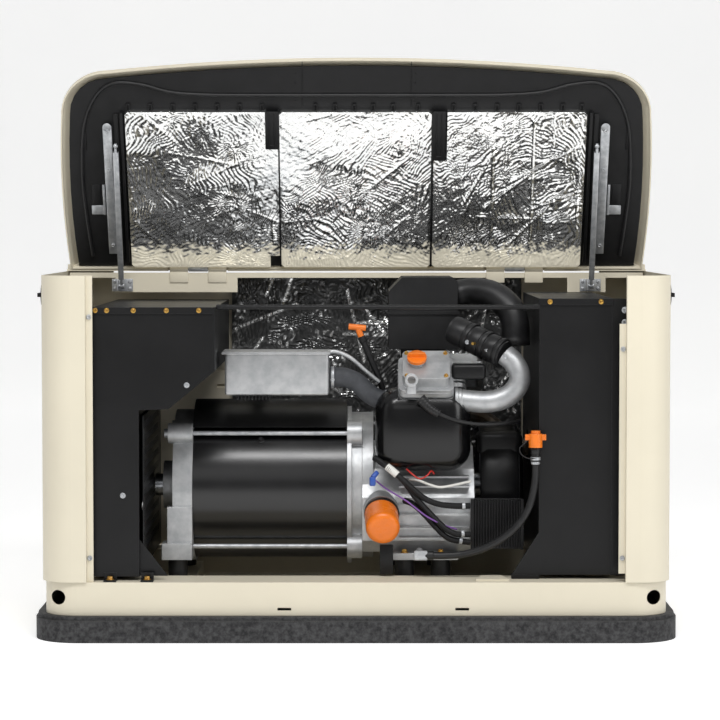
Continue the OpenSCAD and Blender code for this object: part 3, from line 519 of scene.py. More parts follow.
def foil_slab(width, depth, thick, seed, cell, corner, notches=(), calm=None, creases=(), warm=0,
              shaded=False):
    """A foil-faced foam panel in its own frame: X by Y, crumpled face towards -Z, flat back."""
    clear_selection()
    across, along = int(width / cell), int(depth / cell)
    bpy.ops.mesh.primitive_grid_add(x_subdivisions=across, y_subdivisions=along, size=1)
    slab = bpy.context.object
    slab.scale = (width * MM, depth * MM, 1)
    bpy.ops.object.transform_apply(location=True, rotation=True, scale=True)
    with editing():
        bpy.ops.mesh.select_all(action="DESELECT")
        bpy.ops.mesh.select_mode(type="FACE")
    for face in slab.data.polygons:
        x, y = face.center.x / MM, face.center.y / MM
        gone = any(a < x < c and b < y < d for a, b, c, d in notches)
        over_x, over_y = abs(x) - (width / 2 - corner), abs(y) - (depth / 2 - corner)
        face.select = gone or (over_x > 0 and over_y > 0 and math.hypot(over_x, over_y) > corner)
    with editing():
        bpy.ops.mesh.delete(type="FACE")
        bpy.ops.mesh.select_mode(type="EDGE")
        bpy.ops.mesh.select_all(action="DESELECT")
        bpy.ops.mesh.select_non_manifold()
        bpy.ops.mesh.extrude_edges_move(TRANSFORM_OT_translate={"value": (0, 0, thick * MM)})
        bpy.ops.mesh.edge_face_add()
        bpy.ops.mesh.select_mode(type="VERT")
    face_out(slab)
    count = len(slab.data.vertices)
    place = np.empty(count * 3)
    slab.data.vertices.foreach_get("co", place)
    place = place.reshape(-1, 3)
    face_side = place[:, 2] < thick * MM * 0.5
    x, y = place[face_side, 0] / MM, place[face_side, 1] / MM
    rim = np.clip(np.minimum(width / 2 - np.abs(x), depth / 2 - np.abs(y)) / 6, 0, 1)
    place[face_side, 2] -= wrinkles(x, y, seed, calm, creases) * (0.25 + 0.75 * rim) * MM
    slab.data.vertices.foreach_set("co", place.ravel())
    rng = np.random.default_rng(seed + 50)
    x, y = place[:, 0] / MM, place[:, 1] / MM
    # The cream band along the lower edge is a painted reflection of the cream roof strip, with a painted
    # glow.
    low_edge = y + depth / 2 + 7 * soft_noise(x, y, rng, 24) + 7 * soft_noise(x, y, rng, 8)
    marks = {"warm": np.clip((warm - low_edge) / 16, 0, 1) if warm else np.zeros(count),
             "painted_shade": np.zeros(count)}
    # Shaded panels are painted with shade all over, except for bright streaks and patches.
    if shaded:
        bright = np.zeros(count)
        for _ in range(44):
            cx, cy = rng.uniform(-width / 2, width / 2), rng.uniform(-depth / 2, depth / 2)
            along, off = line_place(x, y, cx, cy, rng.uniform(0, math.pi))
            streak = np.clip(2.0 - np.abs(off) / 1.7, 0, 1) * (np.abs(along) < rng.uniform(20, 80))
            bright = np.maximum(bright, streak)
        patches = np.clip(soft_noise(x, y, rng, 60) - 0.3, 0, 1)
        bright = np.maximum(bright, patches * np.clip(soft_noise(x, y, rng, 11) * 1.6 - 0.9, 0, 1))
        marks["painted_shade"] = 0.93 * (1 - bright)
    for name, values in marks.items():
        slab.data.attributes.new(name, "FLOAT", "POINT").data.foreach_set("value", values)
    slab.data.update()
    return slab


# ---------- what a user would change ----------

class GeneratorSettings(bpy.types.PropertyGroup):
    """Sizes, colours and light that a user would change"""
    foil_seed: bpy.props.IntProperty(
        name="Foil Seed", description="Seed of the foil's wrinkles", default=11)
    foil_cell: bpy.props.FloatProperty(
        name="Foil Cell", description="Mesh spacing of the foil in millimetres", default=1.8, min=1.2,
        max=8.0)
    body_colour: bpy.props.FloatVectorProperty(
        name="Body Colour", description="Powder coat of the panels", subtype="COLOR", size=3, min=0, max=1,
        default=linear("e0d8c3")[:3])
    cap_colour: bpy.props.FloatVectorProperty(
        name="Cap Colour", description="Oil caps, dipstick and filter", subtype="COLOR", size=3, min=0, max=1,
        default=linear("ee7a1a")[:3])
    foil_thickness: bpy.props.FloatProperty(
        name="Foil Thickness", description="Depth of the lid's foam", default=0.0134, min=0.005, max=0.0145,
        unit="LENGTH", precision=4)
    # The cream band is a painted reflection of the cream roof strip, with a painted glow.
    painted_reflection_edge: bpy.props.FloatProperty(
        name="Warm Edge", description="Height of the cream tint along the foil's lower edge", default=0.052,
        min=0.0, max=0.12, unit="LENGTH", precision=4)
    screw_size: bpy.props.FloatProperty(
        name="Screw Size", description="Half width of a small panel screw", default=0.005, min=0.003,
        max=0.007, unit="LENGTH", precision=4)
    hose_radius: bpy.props.FloatProperty(
        name="Fuel Hose Radius", description="Radius of the fuel hose", default=0.019, min=0.012, max=0.02,
        unit="LENGTH", precision=4)
    light_power: bpy.props.FloatProperty(
        name="Light Power", description="Scales every studio light", default=1.0, min=0.1, max=4.0)
    lens: bpy.props.FloatProperty(
        name="Lens", description="Focal length of the camera", default=131.75, min=20, max=300, unit="CAMERA")
    camera_tilt: bpy.props.FloatProperty(
        name="Camera Tilt", description="How far the camera looks down", default=math.radians(2.9),
        subtype="ANGLE")


class GENERATOR_OT_finishes(bpy.types.Operator):
    """Gives every part of the frame its finish"""
    bl_idname = "generator.finishes"
    bl_label = "Finish Frame Parts"

    def execute(self, context):
        KIT.update(make_materials(context.scene.generator_looks))
        for name, node in frame["nodes"].items():
            paint(node, KIT[SLOT_OF[name]])
        return {"FINISHED"}


def lid_foil(settings):
    """The lid's three foil panels, each notched for its tee strap and stay, and wrinkled its own way."""
    # Side, middle, notches, where it lies calm, and its long creases: place, angle, half length, height.
    panels = [
        ("left", -312.5, [(130, 95, 160, 190), (134, -190, 160, -150)],
         lambda x, y: 1 - 0.75 * np.clip((x - 90) / 40, 0, 1) * np.clip((y + 90) / 50, 0, 1), []),
        ("middle", -1.5, [],
         lambda x, y: 1 - 0.8 * np.clip((-x - 90) / 30, 0, 1) * np.clip((y + 30) / 50, 0, 1), []),
        ("right", 311.0, [(-160, 70, -127, 190)], None,
         [(-33, -10, 90, 110, 3), (48, 10, 90, 150, 3), (88, 140, 90, 40, 2.5), (142, 30, 90, 140, 2.5),
          (-60, 30, 62, 70, 2.5), (20, 20, 40, 90, 2.5), (70, 60, 30, 80, 2), (60, -60, 48, 110, 2.5),
          (100, -20, 22, 60, 2), (20, -62, 0, 40, 2)]),
    ]
    for order, (side, middle, notches, calm, creases) in enumerate(panels):
        slab = foil_slab(FOIL_WIDTH, FOIL_DEPTH, settings.foil_thickness / MM, settings.foil_seed + order,
                         settings.foil_cell, 10, notches, calm, creases, settings.painted_reflection_edge / MM)
        settle(slab, LID_FRAME @ Matrix.Translation((middle * MM, -0.187, -0.0075))
               @ Matrix.Diagonal((1, -1, 1, 1)))
        replaced = ["lid_insulation"] if order == 0 else []
        dress(face_out(slab), f"foil_panel_{side}", "lid", "foil_foam", *replaced, smooth=30)


def rear_foil(seed):
    """The foil on the back wall, crumpled face to the front, with painted shade over most of it."""
    low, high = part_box("rear_insulation")
    middle, size = (low + high) / 2, (high - low) / MM
    slab = foil_slab(size.x, size.z, size.y - 1.5, seed, 2.4, 6, [(-153, 79, -119, 113)], shaded=True)
    settle(slab, Matrix.Translation((middle.x, low.y + 0.0015, middle.z))
           @ Matrix(((1, 0, 0, 0), (0, 0, 1, 0), (0, 1, 0, 0), (0, 0, 0, 1))))
    dress(face_out(slab), "foil_panel_rear", ROOT, "foil_foam", "rear_insulation", smooth=30)


class GENERATOR_OT_foil(bpy.types.Operator):
    """Models the crumpled foil faces of the lid's and the rear wall's insulation"""
    bl_idname = "generator.foil"
    bl_label = "Foil Panels"

    def execute(self, context):
        settings = context.scene.generator_looks
        lid_foil(settings)
        rear_foil(settings.foil_seed + 9)
        return {"FINISHED"}


# ---------- lid ----------

def lid_ring(inset, height):
    """Points in metres on the lid's outline, drawn in by inset and raised by height in millimetres."""
    side = [(595 + 8 * (1 - ((s - 178) / 178) ** 2) - inset, -s)
            for s in [2 + inset * 0.2, *range(20, 341, 20)]]
    turn = CORNER_RADIUS - inset
    corner = [(500 + turn * math.cos(math.radians(a)), -355 - turn * math.sin(math.radians(a)))
              for a in range(0, 90, 6)]
    front = [(x, -(478 - 28 * (x / 500) ** 2) + inset) for x in range(500, -1, -25)]
    right = side + corner + front
    left = [(-x, y) for x, y in reversed(right[:-1])]
    return [(x * MM, y * MM, height * MM) for x, y in right + left]


def lid_dome():
    """The lid's shell: an upright edge, a rolled shoulder and a gentle crown, 3 mm thick."""
    # Inset and height of each ring. The rings drawn in by more than about 90 mm cross over
    # themselves at the corners and the hinge edge, a fault that the crown still shows there.
    outside = [(0, -2), (0, 5), (0.6, 9), (2.2, 13), (5, 17), (9, 20.2), (14, 22.2), (24, 24.6),
               (40, 27.2), (60, 29), (90, 29.8), (130, 30)]
    inside = [(i + 3, h - (0 if h < 0 else 3)) for i, h in reversed(outside)]
    rings = [lid_ring(i, h) for i, h in outside + inside]
    count, last, crown = len(rings[0]), len(rings) - 1, len(outside) - 1
    faces = ring_faces([(a, a + 1) for a in range(last) if a != crown] + [(last, 0)], count)
    faces += [tuple(crown * count + j for j in range(count)),
              tuple((crown + 1) * count + j for j in range(count))[::-1]]
    dome = solid("lid_dome", [p for ring in rings for p in ring], faces)
    cut(dome, [block((x - 64, -14, -9), (x + 64, 6, 7.5), 1) for x in HINGE_X])
    on_lid("lid_dome", [dome], "cream_paint", "lid_shell", smooth=60)


def seal_bead():
    """The rubber bead on the liner, around the foil panels."""
    half = [(548, -30), (556, -120), (560, -200), (556, -290), (545, -350), (520, -400), (485, -424),
            (430, -420), (374, -404), (300, -398), (180, -397), (60, -397)]
    route = [(-x, y, 4.2) for x, y in half] + [(x, y, 4.2) for x, y in reversed(half)]
    on_lid("lid_seal_bead", [sweep(route, 3.6, 16, 4)], "rubber", "lid_gasket")


def rails(*rows):
    """Bars on both sides of the lid: place across, half width, ends, heights and edge radius."""
    return [block((side * x - half, near, low), (side * x + half, far, high), rim)
            for side in (-1, 1) for x, half, near, far, low, high, rim in rows]


def stay_channels():
    """The channels that the stays slide in, the latch plates beside them and the hinge knuckles."""
    channels = rails((CHANNEL_X, 8, -326, -40, -6, -4.6, 0.4), (531, 14, -148, -127, 2.6, 5.8, 1.5),
                     (518, 2.5, -196, -127, 1, 5.8, 0.8),
                     *((x, 0.7, -330, -40, -5.2, 2, 0.4) for x in (CHANNEL_X - 8.3, CHANNEL_X + 8.3)))
    for x in (-CHANNEL_X, CHANNEL_X):
        channels.append(drum(9, (x, -330, -6), (x, -330, -4.6), 0.3, 32))
        channels += [bolt((x, y, -4.6), (0, 0, -1), 5.2, "pan") for y in (-322, -235, -60)]
    for x in HINGE_X:
        channels.append(drum(5, (x - 20, 0, 0), (x + 20, 0, 0), 0.6, 32, 2.56))
        channels.append(block((x - 19.5, -8.6, 1), (x + 19.5, -3.5, 6), 0.5))
    on_lid("stay_channels", channels, "zinc_steel", "lid_brackets")


def lid_trim():
    """The black strips beside the foil, the tee straps, the liner's seams and the foam's hooks."""
    trim = rails((474, 3.2, -362, -18, -7, 6, 1.2), (486, 5, -356, -26, 2.5, 6, 1),
                 (553, 5, -312, -274, 3.6, 6.4, 1), (534, 9, -196, -149, 4.2, 6.2, 1))
    for x, side, end in ((-157, -1, -283), (154, 1, -258)):
        near, far = sorted((x, x + side * 27))
        trim.append(block((x - 1.6, -365, -11), (x + 1.6, -12, 6), 0.6))
        trim.append(block((near, -368, -11.6), (far, end, -9), 1.5))
        for left, right, foot in ((near + 7, near + 9.5, -364), (far - 9.5, far - 7, -364),
                                  (near + 7, far - 7, end - 10.5)):
            trim.append(block((left, foot, -13.4), (right, end - 8, -11), 0.8))
    trim += [block((x, -470, 4.4), (x + 1.2, -372, 6.2), 0) for x in (-108.6, 110)]
    trim += [drum(1.8, (x, y, 5), (x, y, 6.3), 0.3, 16) for x in (-122, 118) for y in range(-384, -445, -20)]
    for x in (-460, -415, -370, -325, -280, -235, -190, -82, -43, -4, 34, 74, 125, 196, 240, 284, 328,
              372, 416, 455):
        trim += [block((x + k - 1, -377, 0), (x + k + 1, -366, 6), 0.6) for k in (-3, 3)]
        trim.append(block((x - 4, -379, 0), (x + 4, -376, 6), 0.8))
    on_lid("lid_trim", trim, "black_plastic")


class GENERATOR_OT_lid(bpy.types.Operator):
    """Models the domed lid shell, its seal, the stay channels, the black strips and the hooks"""
    bl_idname = "generator.lid"
    bl_label = "Lid"

    def execute(self, context):
        lid_dome()
        seal_bead()
        stay_channels()
        lid_trim()
        return {"FINISHED"}


# ---------- hoses and pipes ----------

def fuel_hose(radius):
    """The thick gas hose from the regulator, with its cuffs and bands."""
    y = -142
    route = [(-47, y, 498), (-36, y, 498), (-21, y, 497), (2, y, 487), (21, y, 469), (43, y, 455),
             (64, y, 450)]
    hose = [sweep(route, radius, 36, 2.5), drum(20.5, (-52, y, 498), (-40, y, 498), 1.2, 48, 12),
            drum(20.5, (50, y, 453.2), (62, y, 450.4), 1.2, 48, 12)]
    fixed("fuel_hose_run", hose, "grey_rubber", "fuel_hose")
    bands = [drum(21.3, (-49, y, 498), (-43, y, 498), 0.5, 48, 20.2),
             drum(13, (64.2, y, 450), (80.2, y, 450), 1, 40, 6),
             drum(21.3, (53, y, 452.5), (59, y, 451.1), 0.5, 48, 20.2),
             block((-49, -163, 488), (-43, -158, 500), 1), bolt((-46, -166, 494), FRONT, 4)]
    fixed("fuel_hose_clamps", bands, "zinc_steel")


def inlet_pipe():
    """The cast pipe that turns up and back to the mixer, with its flange."""
    route = [(206, -180, 455), (250, -188, 452), (280, -191, 457), (302, -192, 469), (316, -192, 488),
             (317, -190, 508), (306, -184, 530), (291, -178, 543)]
    pipe = [sweep(route, 21, 40, 3), drum(25, (192, -180, 455), (199, -180, 455), 1.2, 48),
            drum(23, (199, -180, 455), (206, -180, 455), 1.5, 48)]
    fixed("inlet_pipe", pipe, "cast_aluminium", "intake_pipe")


def air_duct_elbow():
    """The large hose from the air box, swollen where it is clamped near both ends."""
    route = [(204, 20, 655), (238, 12, 662), (278, -8, 654), (308, -28, 628), (318, -38, 596),
             (318, -42, 556)]
    elbow = sweep(route, 28, 40, 3,
                  swell=lambda t: 1 + sum(0.06 * math.exp(-((t - end) / 0.03) ** 2) for end in (0.04, 0.97)))
    fixed("air_duct_elbow", [elbow], "rubber", "air_elbow")


def mixer():
    """The rubber boot with its stepped collars, and the screws of its clamps."""
    low_end, high_end = Vector((290, -178, 544)), Vector((190, -120, 592))
    way = (high_end - low_end).normalized()
    boot = [sweep([low_end + way * k for k in (2, 40, 80, 124)], 26.5, 40, 2)]
    collars = ((29.5, 6, 9), (28, 17, 20), (29.5, 40, 9), (28.5, 52, 22), (29.5, 78, 9), (28, 90, 30))
    boot += [drum(r, low_end + way * k, low_end + way * (k + w), 1.5, 48, 25) for r, k, w in collars]
    fixed("mixer_boot", boot, "rubber", "mixer")
    clamps = [bolt(low_end + way * (k + 4.5) + Vector((8 - k * 0.2, -29, -8)), (0, -1, -0.2), 4.5)
              for k in (6, 40, 78)]
    fixed("mixer_clamps", clamps, "zinc_steel")


def upright(radius, low, high, *shape):
    """A drum on the drain hose's upright end, between two heights."""
    return drum(radius, (344, -272, low), (344, -272, high), *shape)


def drain_hose():
    """The oil drain hose up to its neck, and the plated elbow that it starts from."""
    route = [(138, -236, 158), (168, -240, 158), (203, -246, 161), (236, -254, 170), (265, -262, 184),
             (292, -268, 203), (314, -272, 226), (331, -272, 254), (340, -272, 286), (344, -272, 318),
             (344, -272, 346)]
    hose = [sweep(route, 7, 24, 3), upright(9, 346.2, 358, 1, 32), upright(9.8, 358, 368.2, 1, 32),
            upright(7, 368, 382, 0.5, 32, 4), drum(8.6, (134, -235.6, 158), (150, -237.6, 158), 1, 32)]
    fixed("drain_hose_run", hose, "rubber", "drain_hose")
    elbow = [block((112, -244, 149), (137.8, -228, 167), 2),
             drum(7, (124, -231, 158), (124, -166.4, 158), 0.5, 32), upright(9.5, 346, 352, 0.6, 32, 7.2),
             drum(9, (133, -236, 158), (137, -236, 158), 0.6, 6)]
    fixed("drain_elbow", elbow, "zinc_steel")


def dipstick_guide():
    """The dipstick's tube, up from the crankcase and aslant to its mouth."""
    foot, top = Vector((55, -112, 470)), Vector((10, -112, 576))
    slope = [foot + (top - foot) * part for part in (0.96, 0.6, 0.2)]
    tube = sweep([*slope, (57, -112, 452), (60, -112, 410), (60, -112, 370), (60, -112, 332)], 6, 24, 3)
    mouth = drum(8, foot + (top - foot) * 0.9, top, 0.8, 32, 4)
    fixed("dipstick_guide", [tube, mouth], "black_plastic", "dipstick_tube")


class GENERATOR_OT_hoses(bpy.types.Operator):
    """Models the fuel hose, the inlet pipe and elbow, the dipstick tube and the drain hose"""
    bl_idname = "generator.hoses"
    bl_label = "Hoses and Pipes"

    def execute(self, context):
        fuel_hose(context.scene.generator_looks.hose_radius / MM)
        inlet_pipe()
        air_duct_elbow()
        mixer()
        drain_hose()
        dipstick_guide()
        return {"FINISHED"}


# ---------- wiring ----------

def conduits():
    """Three corrugated conduits of the harness."""
    runs = [[(36, -180, 342), (54, -208, 332), (80, -216, 312), (106, -212, 288), (132, -206, 266),
             (160, -202, 254), (194, -200, 250), (222, -196, 250)],
            [(84, -190, 306), (96, -196, 294), (118, -204, 264), (146, -208, 234), (172, -208, 208),
             (194, -204, 196), (222, -196, 194)],
            [(94, -172, 258), (112, -190, 252), (134, -198, 232), (156, -202, 208), (182, -200, 186),
             (222, -194, 178)]]
    fixed("conduits", [sweep(run, 6.3, 16, 0.8, rib=(3.2, 0.9)) for run in runs], "black_plastic", "wiring")


def plug_boot():
    """The front spark plug's boot and its lead."""
    boot = sweep([(124, -229, 462), (134, -231, 451), (146, -233, 440), (160, -233, 432)], 9.5, 28, 1.5,
                 swell=lambda t: 1.12 - 0.35 * t + 0.05 * math.cos(t * 50))
    lead = sweep([(160.5, -233, 432), (190, -230, 420), (224, -216, 412), (262, -200, 409),
                  (300, -184, 411), (320, -168, 414)], 3.5, 16, 3)
    fixed("plug_boot", [boot, lead], "rubber")


def sensor_wires():
    """The thin coloured wires on the front of the crankcase."""
    wires = [
        ("violet", "7a4f9a", 1.6, [(34, -170, 300), (60, -192, 282), (96, -210, 262), (136, -214, 232),
                                   (170, -210, 214), (196, -196, 204)]),
        ("red", "b5281f", 1.6, [(98, -196, 322), (110, -206, 312), (124, -208, 304), (138, -204, 310),
                                (146, -196, 318), (152, -190, 312)]),
        ("white", "d9d8d2", 2.6, [(104, -176, 300), (124, -190, 298), (146, -192, 290), (170, -188, 286),
                                  (224, -178, 296)]),
        ("blue", "2b4fa0", 1.6, [(40, -186, 340), (58, -206, 326), (84, -214, 306), (112, -208, 284)]),
    ]
    for tone, code, radius, run in wires:
        # PVC wire insulation: smooth, slightly waxy colour.
        KIT[tone] = finish(f"{tone}_wire_insulation", code, code, patch=10, grain=1, bump=0.02,
                           rough=0.38, spread=0.04, edge=0.3)
        paint(fixed(f"{tone}_wire", [sweep(run, radius, 12, 2)], "rubber"), KIT[tone])


def harness_ends():
    """The bands on the conduits' ends, the cap's tether, a white sleeve and a blue plug."""
    bands = [drum(7.8, (206, -198.5, 250), (212, -198, 250), 0.5, 24),
             drum(7.8, (204, -201, 196), (210, -200, 196), 0.5, 24),
             drum(7.8, (200, -198, 182), (206, -197, 181), 0.5, 24),
             drum(8.4, (343.9, -272, 338), (343.9, -272, 343), 0.5, 32)]
    fixed("conduit_clamps", bands, "zinc_steel")
    tether = sweep([(331, -272, 384), (322, -276, 378), (313, -278, 368), (318, -279, 356),
                    (330, -279, 350), (344, -280.5, 350)], 1.1, 10, 2)
    fixed("cap_tether", [tether], "rubber")
    sleeve = sweep([(60, -210.5, 328), (70, -213.6, 320.5), (80, -216, 312)], 7.3, 20, 2)
    paint(fixed("conduit_sleeve", [sleeve], "rubber"), KIT["white"])
    plug = [block((26, -214, 290), (38, -204, 308), 3, 3), drum(5, (32, -208, 306), (41, -200, 316), 1, 24)]
    paint(fixed("sensor_plug", plug, "rubber"), KIT["blue"])


class GENERATOR_OT_wiring(bpy.types.Operator):
    """Models the corrugated conduits, the plug boot and lead, and the sensor wires"""
    bl_idname = "generator.wiring"
    bl_label = "Wiring"

    def execute(self, context):
        conduits()
        plug_boot()
        sensor_wires()
        harness_ends()
        return {"FINISHED"}


# ---------- fasteners ----------

def bank_frame(side):
    """Frame of the front (1) or rear (-1) cylinder, its axis along Z."""
    return Matrix.Translation((0, 0, AXLE_Z * MM)) @ Matrix.Rotation(math.radians(38 * side), 4, "X") @ \
        Matrix.Translation((0.136 if side > 0 else 0.172, 0, 0))


class GENERATOR_OT_fasteners(bpy.types.Operator):
    """Models the screws and bolts that hold the panels, the boxes and the feet"""
    bl_idname = "generator.fasteners"
    bl_label = "Fasteners"

    def execute(self, context):
        size = context.scene.generator_looks.screw_size / MM
        gold = [bolt((x, -279.2, 633), FRONT, size) for x in (-498, -476, -425, -362, -300)]
        gold += [bolt((x, -254.2, 649), FRONT, size) for x in (372, 470)]
        gold += [bolt((x, -287, 117.4), UP, 8) for x in (-471, -400)]
        gold += [bolt((314, -238, 122), UP, 9)]
        gold += [bolt((x, y, 153.2), UP, 8) for x in (95, 166) for y in (-156, 156)]
        cover = bank_frame(1)
        out = cover.to_3x3() @ Vector(UP)
        gold += [bolt(cover @ Vector((x * MM, y * MM, 0.3204)) / MM, out, 4.5)
                 for x in (-38, 38) for y in (-33, 33)]
        pale = [bolt((x, -275.2, z), FRONT, 5.5) for x, z in ((-324, 490), (-447, 278))]
        pale += [bolt((x, -293.6, z), FRONT, size)
                 for x, z in ((-509, 621), (-509, 160), (509, 160), (509, 560))]
        pale += [bolt((516, -252.2, z), FRONT, 6.5) for z in (633, 609)]
        fixed("pale_screws", pale, "zinc_steel")
        fixed("gold_screws", gold, "yellow_zinc", "fasteners")
        return {"FINISHED"}


# ---------- covers and castings ----------

def finned_cylinders():
    """Both cylinder barrels, the front one longer, with a fin every 7 mm."""
    barrels = []
    for side, top in ((-1, 205), (1, 231)):
        parts = [drum(43.6, (0, 0, 92), (0, 0, top), 1, 48, 40)]
        parts += [drum(52, (0, 0, h), (0, 0, h + 2.6), 0.8, 48, 42) for h in range(114, top - 3, 7)]
        barrels.append(settle(join("barrel", parts), bank_frame(side)))
    fixed("finned_cylinders", barrels, "cast_aluminium", "cylinders")


def fan_volute():
    """The fan's round housing with its duct to the cylinders, hollow and open at the fan's eye."""
    volute = join("volute", [drum(127, (236, 0, AXLE_Z), (331, 0, AXLE_Z), 24, 96),
                             block((237, -99, 300), (330, 91, 386), 14, 4)])
    cut(volute, [drum(121, (230, 0, AXLE_Z), (322, 0, AXLE_Z), 0, 96),
                 drum(76, (300, 0, AXLE_Z), (340, 0, AXLE_Z), 0, 48),
                 block((230, -93, 290), (322, 85, 379), 0)], use_self=True)
    fixed("fan_volute", [volute], "black_paint", "cooling_duct")


def alternator_can():
    """The alternator's rolled can."""
    # Stoved gloss enamel on the rolled can, with a fine peel 3 mm wide.
    KIT["enamel"] = finish("stoved_black_enamel", "101011", "161617", patch=90, grain=3, bump=0.05,
                           rough=0.24, spread=0.04, edge=1, specular_ior_level=0.6)
    can = merged_copy("stator_can")
    dress(can, "alternator_can", ROOT, "black_paint", "stator_can", smooth=30)
    paint(can, KIT["enamel"])


def brackets():
    """The alternator's lifting eye, and the black brackets, collars and combs around the engine."""
    eye = [drum(13, (107, -243, 498), (107, -231, 498), 1.5, 40, 7.5),
           block((98, -241, 470), (116, -232, 489), 2)]
    fixed("lifting_eye", eye, "cast_aluminium")
    dark = [block((186, -196, 496), (252, -152, 526), 7, 4), block((46, -214, 118), (72, -206, 176), 1.5),
            drum(34.5, (50, -176, 230), (50, -168, 233), 1.5, 48, 32),
            block((-258, -120, 470), (-254, -64, 540), 1)]
    dark += [block((-231 + 6.8 * k, -180, 455), (-228 + 6.8 * k, -150, 463.8), 0.4) for k in range(10)]
    dark += [bolt((-188, -109, 370.6), (0, -0.745, 0.667), 7)]
    fixed("black_brackets", dark, "black_paint")


def fuel_regulator():
    """The regulator's box and lid, its pipe and coupling at the back, and its thin gas line."""
    line = [(-54, -128, 547), (-36, -128, 546), (-10, -128, 534), (20, -128, 508), (46, -128, 487)]
    box = [block((-256, -180, 464), (-53, -64, 548), 6, 4), block((-262, -183, 544), (-50, -60, 549), 1.2),
           drum(13, (-200, -66, 500), (-200, 297, 500), 0.5, 40, 10),
           drum(16, (-200, 293, 500), (-200, 317, 500), 1, 40, 10), sweep(line, 4.2, 16, 2)]
    fixed("fuel_regulator_box", box, "cast_aluminium", "fuel_regulator")


def brace_rod():
    """The rod across the opening, with its nuts."""
    low, high = (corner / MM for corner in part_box("cross_bar"))
    y, z = (low.y + high.y) / 2, (low.z + high.z) / 2
    rod = [drum(4.6, (low.x + 0.3, y, z), (high.x - 0.3, y, z), 1, 24)]
    rod += [drum(5.6, (x, y, z), (x + 9, y, z), 1, 6) for x in (low.x + 2, low.x + 16, high.x - 12)]
    fixed("brace_rod", rod, "black_paint", "cross_bar")


def hinges():
    """The roof's hinge leaves with their pins, and the stays' pivot brackets."""
    leaves, pivots = [], []
    y, z = HINGE_Y, HINGE_Z
    for x in HINGE_X:
        for middle in (x - 40, x + 40):
            leaves.append(block((middle - 19, y - 2.2, z - 28), (middle + 19, y - 0.2, z - 2), 0.6))
            leaves.append(drum(5, (middle - 19, y, z), (middle + 19, y, z), 0.6, 32))
        pivots.append(drum(2.5, (x - 22, y, z), (x + 22, y, z), 0.4, 24))
    y, z = STAY_Y, STAY_Z
    for x in (-STAY_X, STAY_X):
        pivots += [block((x - 22, 192.8, z - 12), (x + 22, 194.8, z + 14), 0.8),
                   block((x - 9.5, 165, z - 10), (x - 6.5, 194, z + 12), 0.8),
                   drum(4, (x - 8, y, z), (x + 5, y, z), 0.4, 32),
                   drum(6.5, (x + 3.2, y, z), (x + 5.5, y, z), 0.5, 32)]
        pivots += [bolt((x + dx, 193, z + dz), FRONT, 3.4, "pan") for dx in (-16, 16) for dz in (-6, 8)]
    fixed("hinge_leaves", leaves, "cream_paint", "hinge_brackets")
    fixed("stay_pivots", pivots, "zinc_steel")


def stays():
    """Both lid stays: a folded channel between two eyes, made upright and then leaned."""
    for side, name in ((-1, "left"), (1, "right")):
        base, tip = Vector((STAY_X * side, STAY_Y, STAY_Z)), Vector((STAY_X * side, 50, 955.3))
        long = (tip - base).length
        turn = math.atan2(tip.y - base.y, tip.z - base.z)
        place = Matrix.Translation(base * MM) @ Matrix.Rotation(-turn, 4, "X")
        bar = [block((-5.5, -6, 16), (5.5, -4.6, long - 12), 0.5), block((-2.5, -5.6, 4), (2.5, 5, 40), 0.6),
               block((-2.5, -5.6, long - 30), (2.5, 5, long - 4), 0.6),
               drum(6, (-2.5, 0, 0), (2.5, 0, 0), 0.6, 32, 4.06),
               drum(6, (-2.5, 0, long), (2.5, 0, long), 0.6, 32),
               drum(2.5, (-4.5, 0, long), (4.5, 0, long), 0.3, 24)]
        bar += [block((k * 4.9 - 0.6, -5.4, 16), (k * 4.9 + 0.6, 3, long - 12), 0.3) for k in (-1, 1)]
        dress(settle(join("stay", bar), place), f"{name}_stay_channel", f"{name}_stay_arm", "zinc_steel",
              f"{name}_stay")


class GENERATOR_OT_castings(bpy.types.Operator):
    """Models the engine's covers, the can, the regulator, the brackets, the hinges and the stays"""
    bl_idname = "generator.castings"
    bl_label = "Covers and Castings"

    def execute(self, context):
        dress(merged_copy("engine_shroud"), "front_cylinder_cover", ROOT, "gloss_black", "engine_shroud",
              smooth=50)
        for make in (finned_cylinders, fan_volute, alternator_can, brackets, fuel_regulator, brace_rod,
                     hinges, stays):
            make()
        return {"FINISHED"}


# ---------- stage ----------

def studio_floor():
    """White paper that runs back along the floor and curves up into the backdrop."""
    clear_selection()
    bpy.ops.mesh.primitive_plane_add(size=1, location=(0, 1.0, 0))
    floor = bpy.context.object
    floor.name = "studio_floor"
    floor.scale = (24, 16, 1)
    bpy.ops.object.transform_apply(location=True, rotation=True, scale=True)
    with editing():
        bpy.ops.mesh.select_all(action="DESELECT")
    for rim in floor.data.edges:
        rim.select = all(floor.data.vertices[i].co.y > 8 for i in rim.vertices)
    with editing():
        bpy.ops.mesh.select_mode(type="EDGE")
        bpy.ops.mesh.extrude_edges_move(TRANSFORM_OT_translate={"value": (0, 0, 8)})
        bpy.ops.mesh.select_mode(type="VERT")
    modify(floor, "BEVEL", width=3.0, segments=24, limit_method="ANGLE")
    bpy.ops.object.shade_smooth()
    # Seamless studio paper: matt, near white.
    paint(floor, finish("white_studio_paper", "f4f4f3", "f0f0f0", patch=900, grain=6, bump=0.0, rough=0.85,
                        spread=0.05, edge=1, emission_color=(1, 1, 1, 1), emission_strength=0.42))


def studio_air(scene):
    """A world that is dim below and lighter above, so that metal has something to reflect."""
    scene.world = world = bpy.data.worlds.new("studio_air")
    world.use_nodes = True
    tree = world.node_tree
    back = tree.nodes["Background"]
    place = put(tree, "ShaderNodeTexCoord")
    axes = put(tree, "ShaderNodeSeparateXYZ", None, {0: place.outputs["Generated"]})
    fade = put(tree, "ShaderNodeMapRange", {"From Min": -0.2, "From Max": 0.9, "To Min": 0.15, "To Max": 0.8},
               {"Value": axes.outputs["Z"]})
    tree.links.new(fade.outputs[0], back.inputs["Color"])
    back.inputs["Strength"].default_value = 0.62


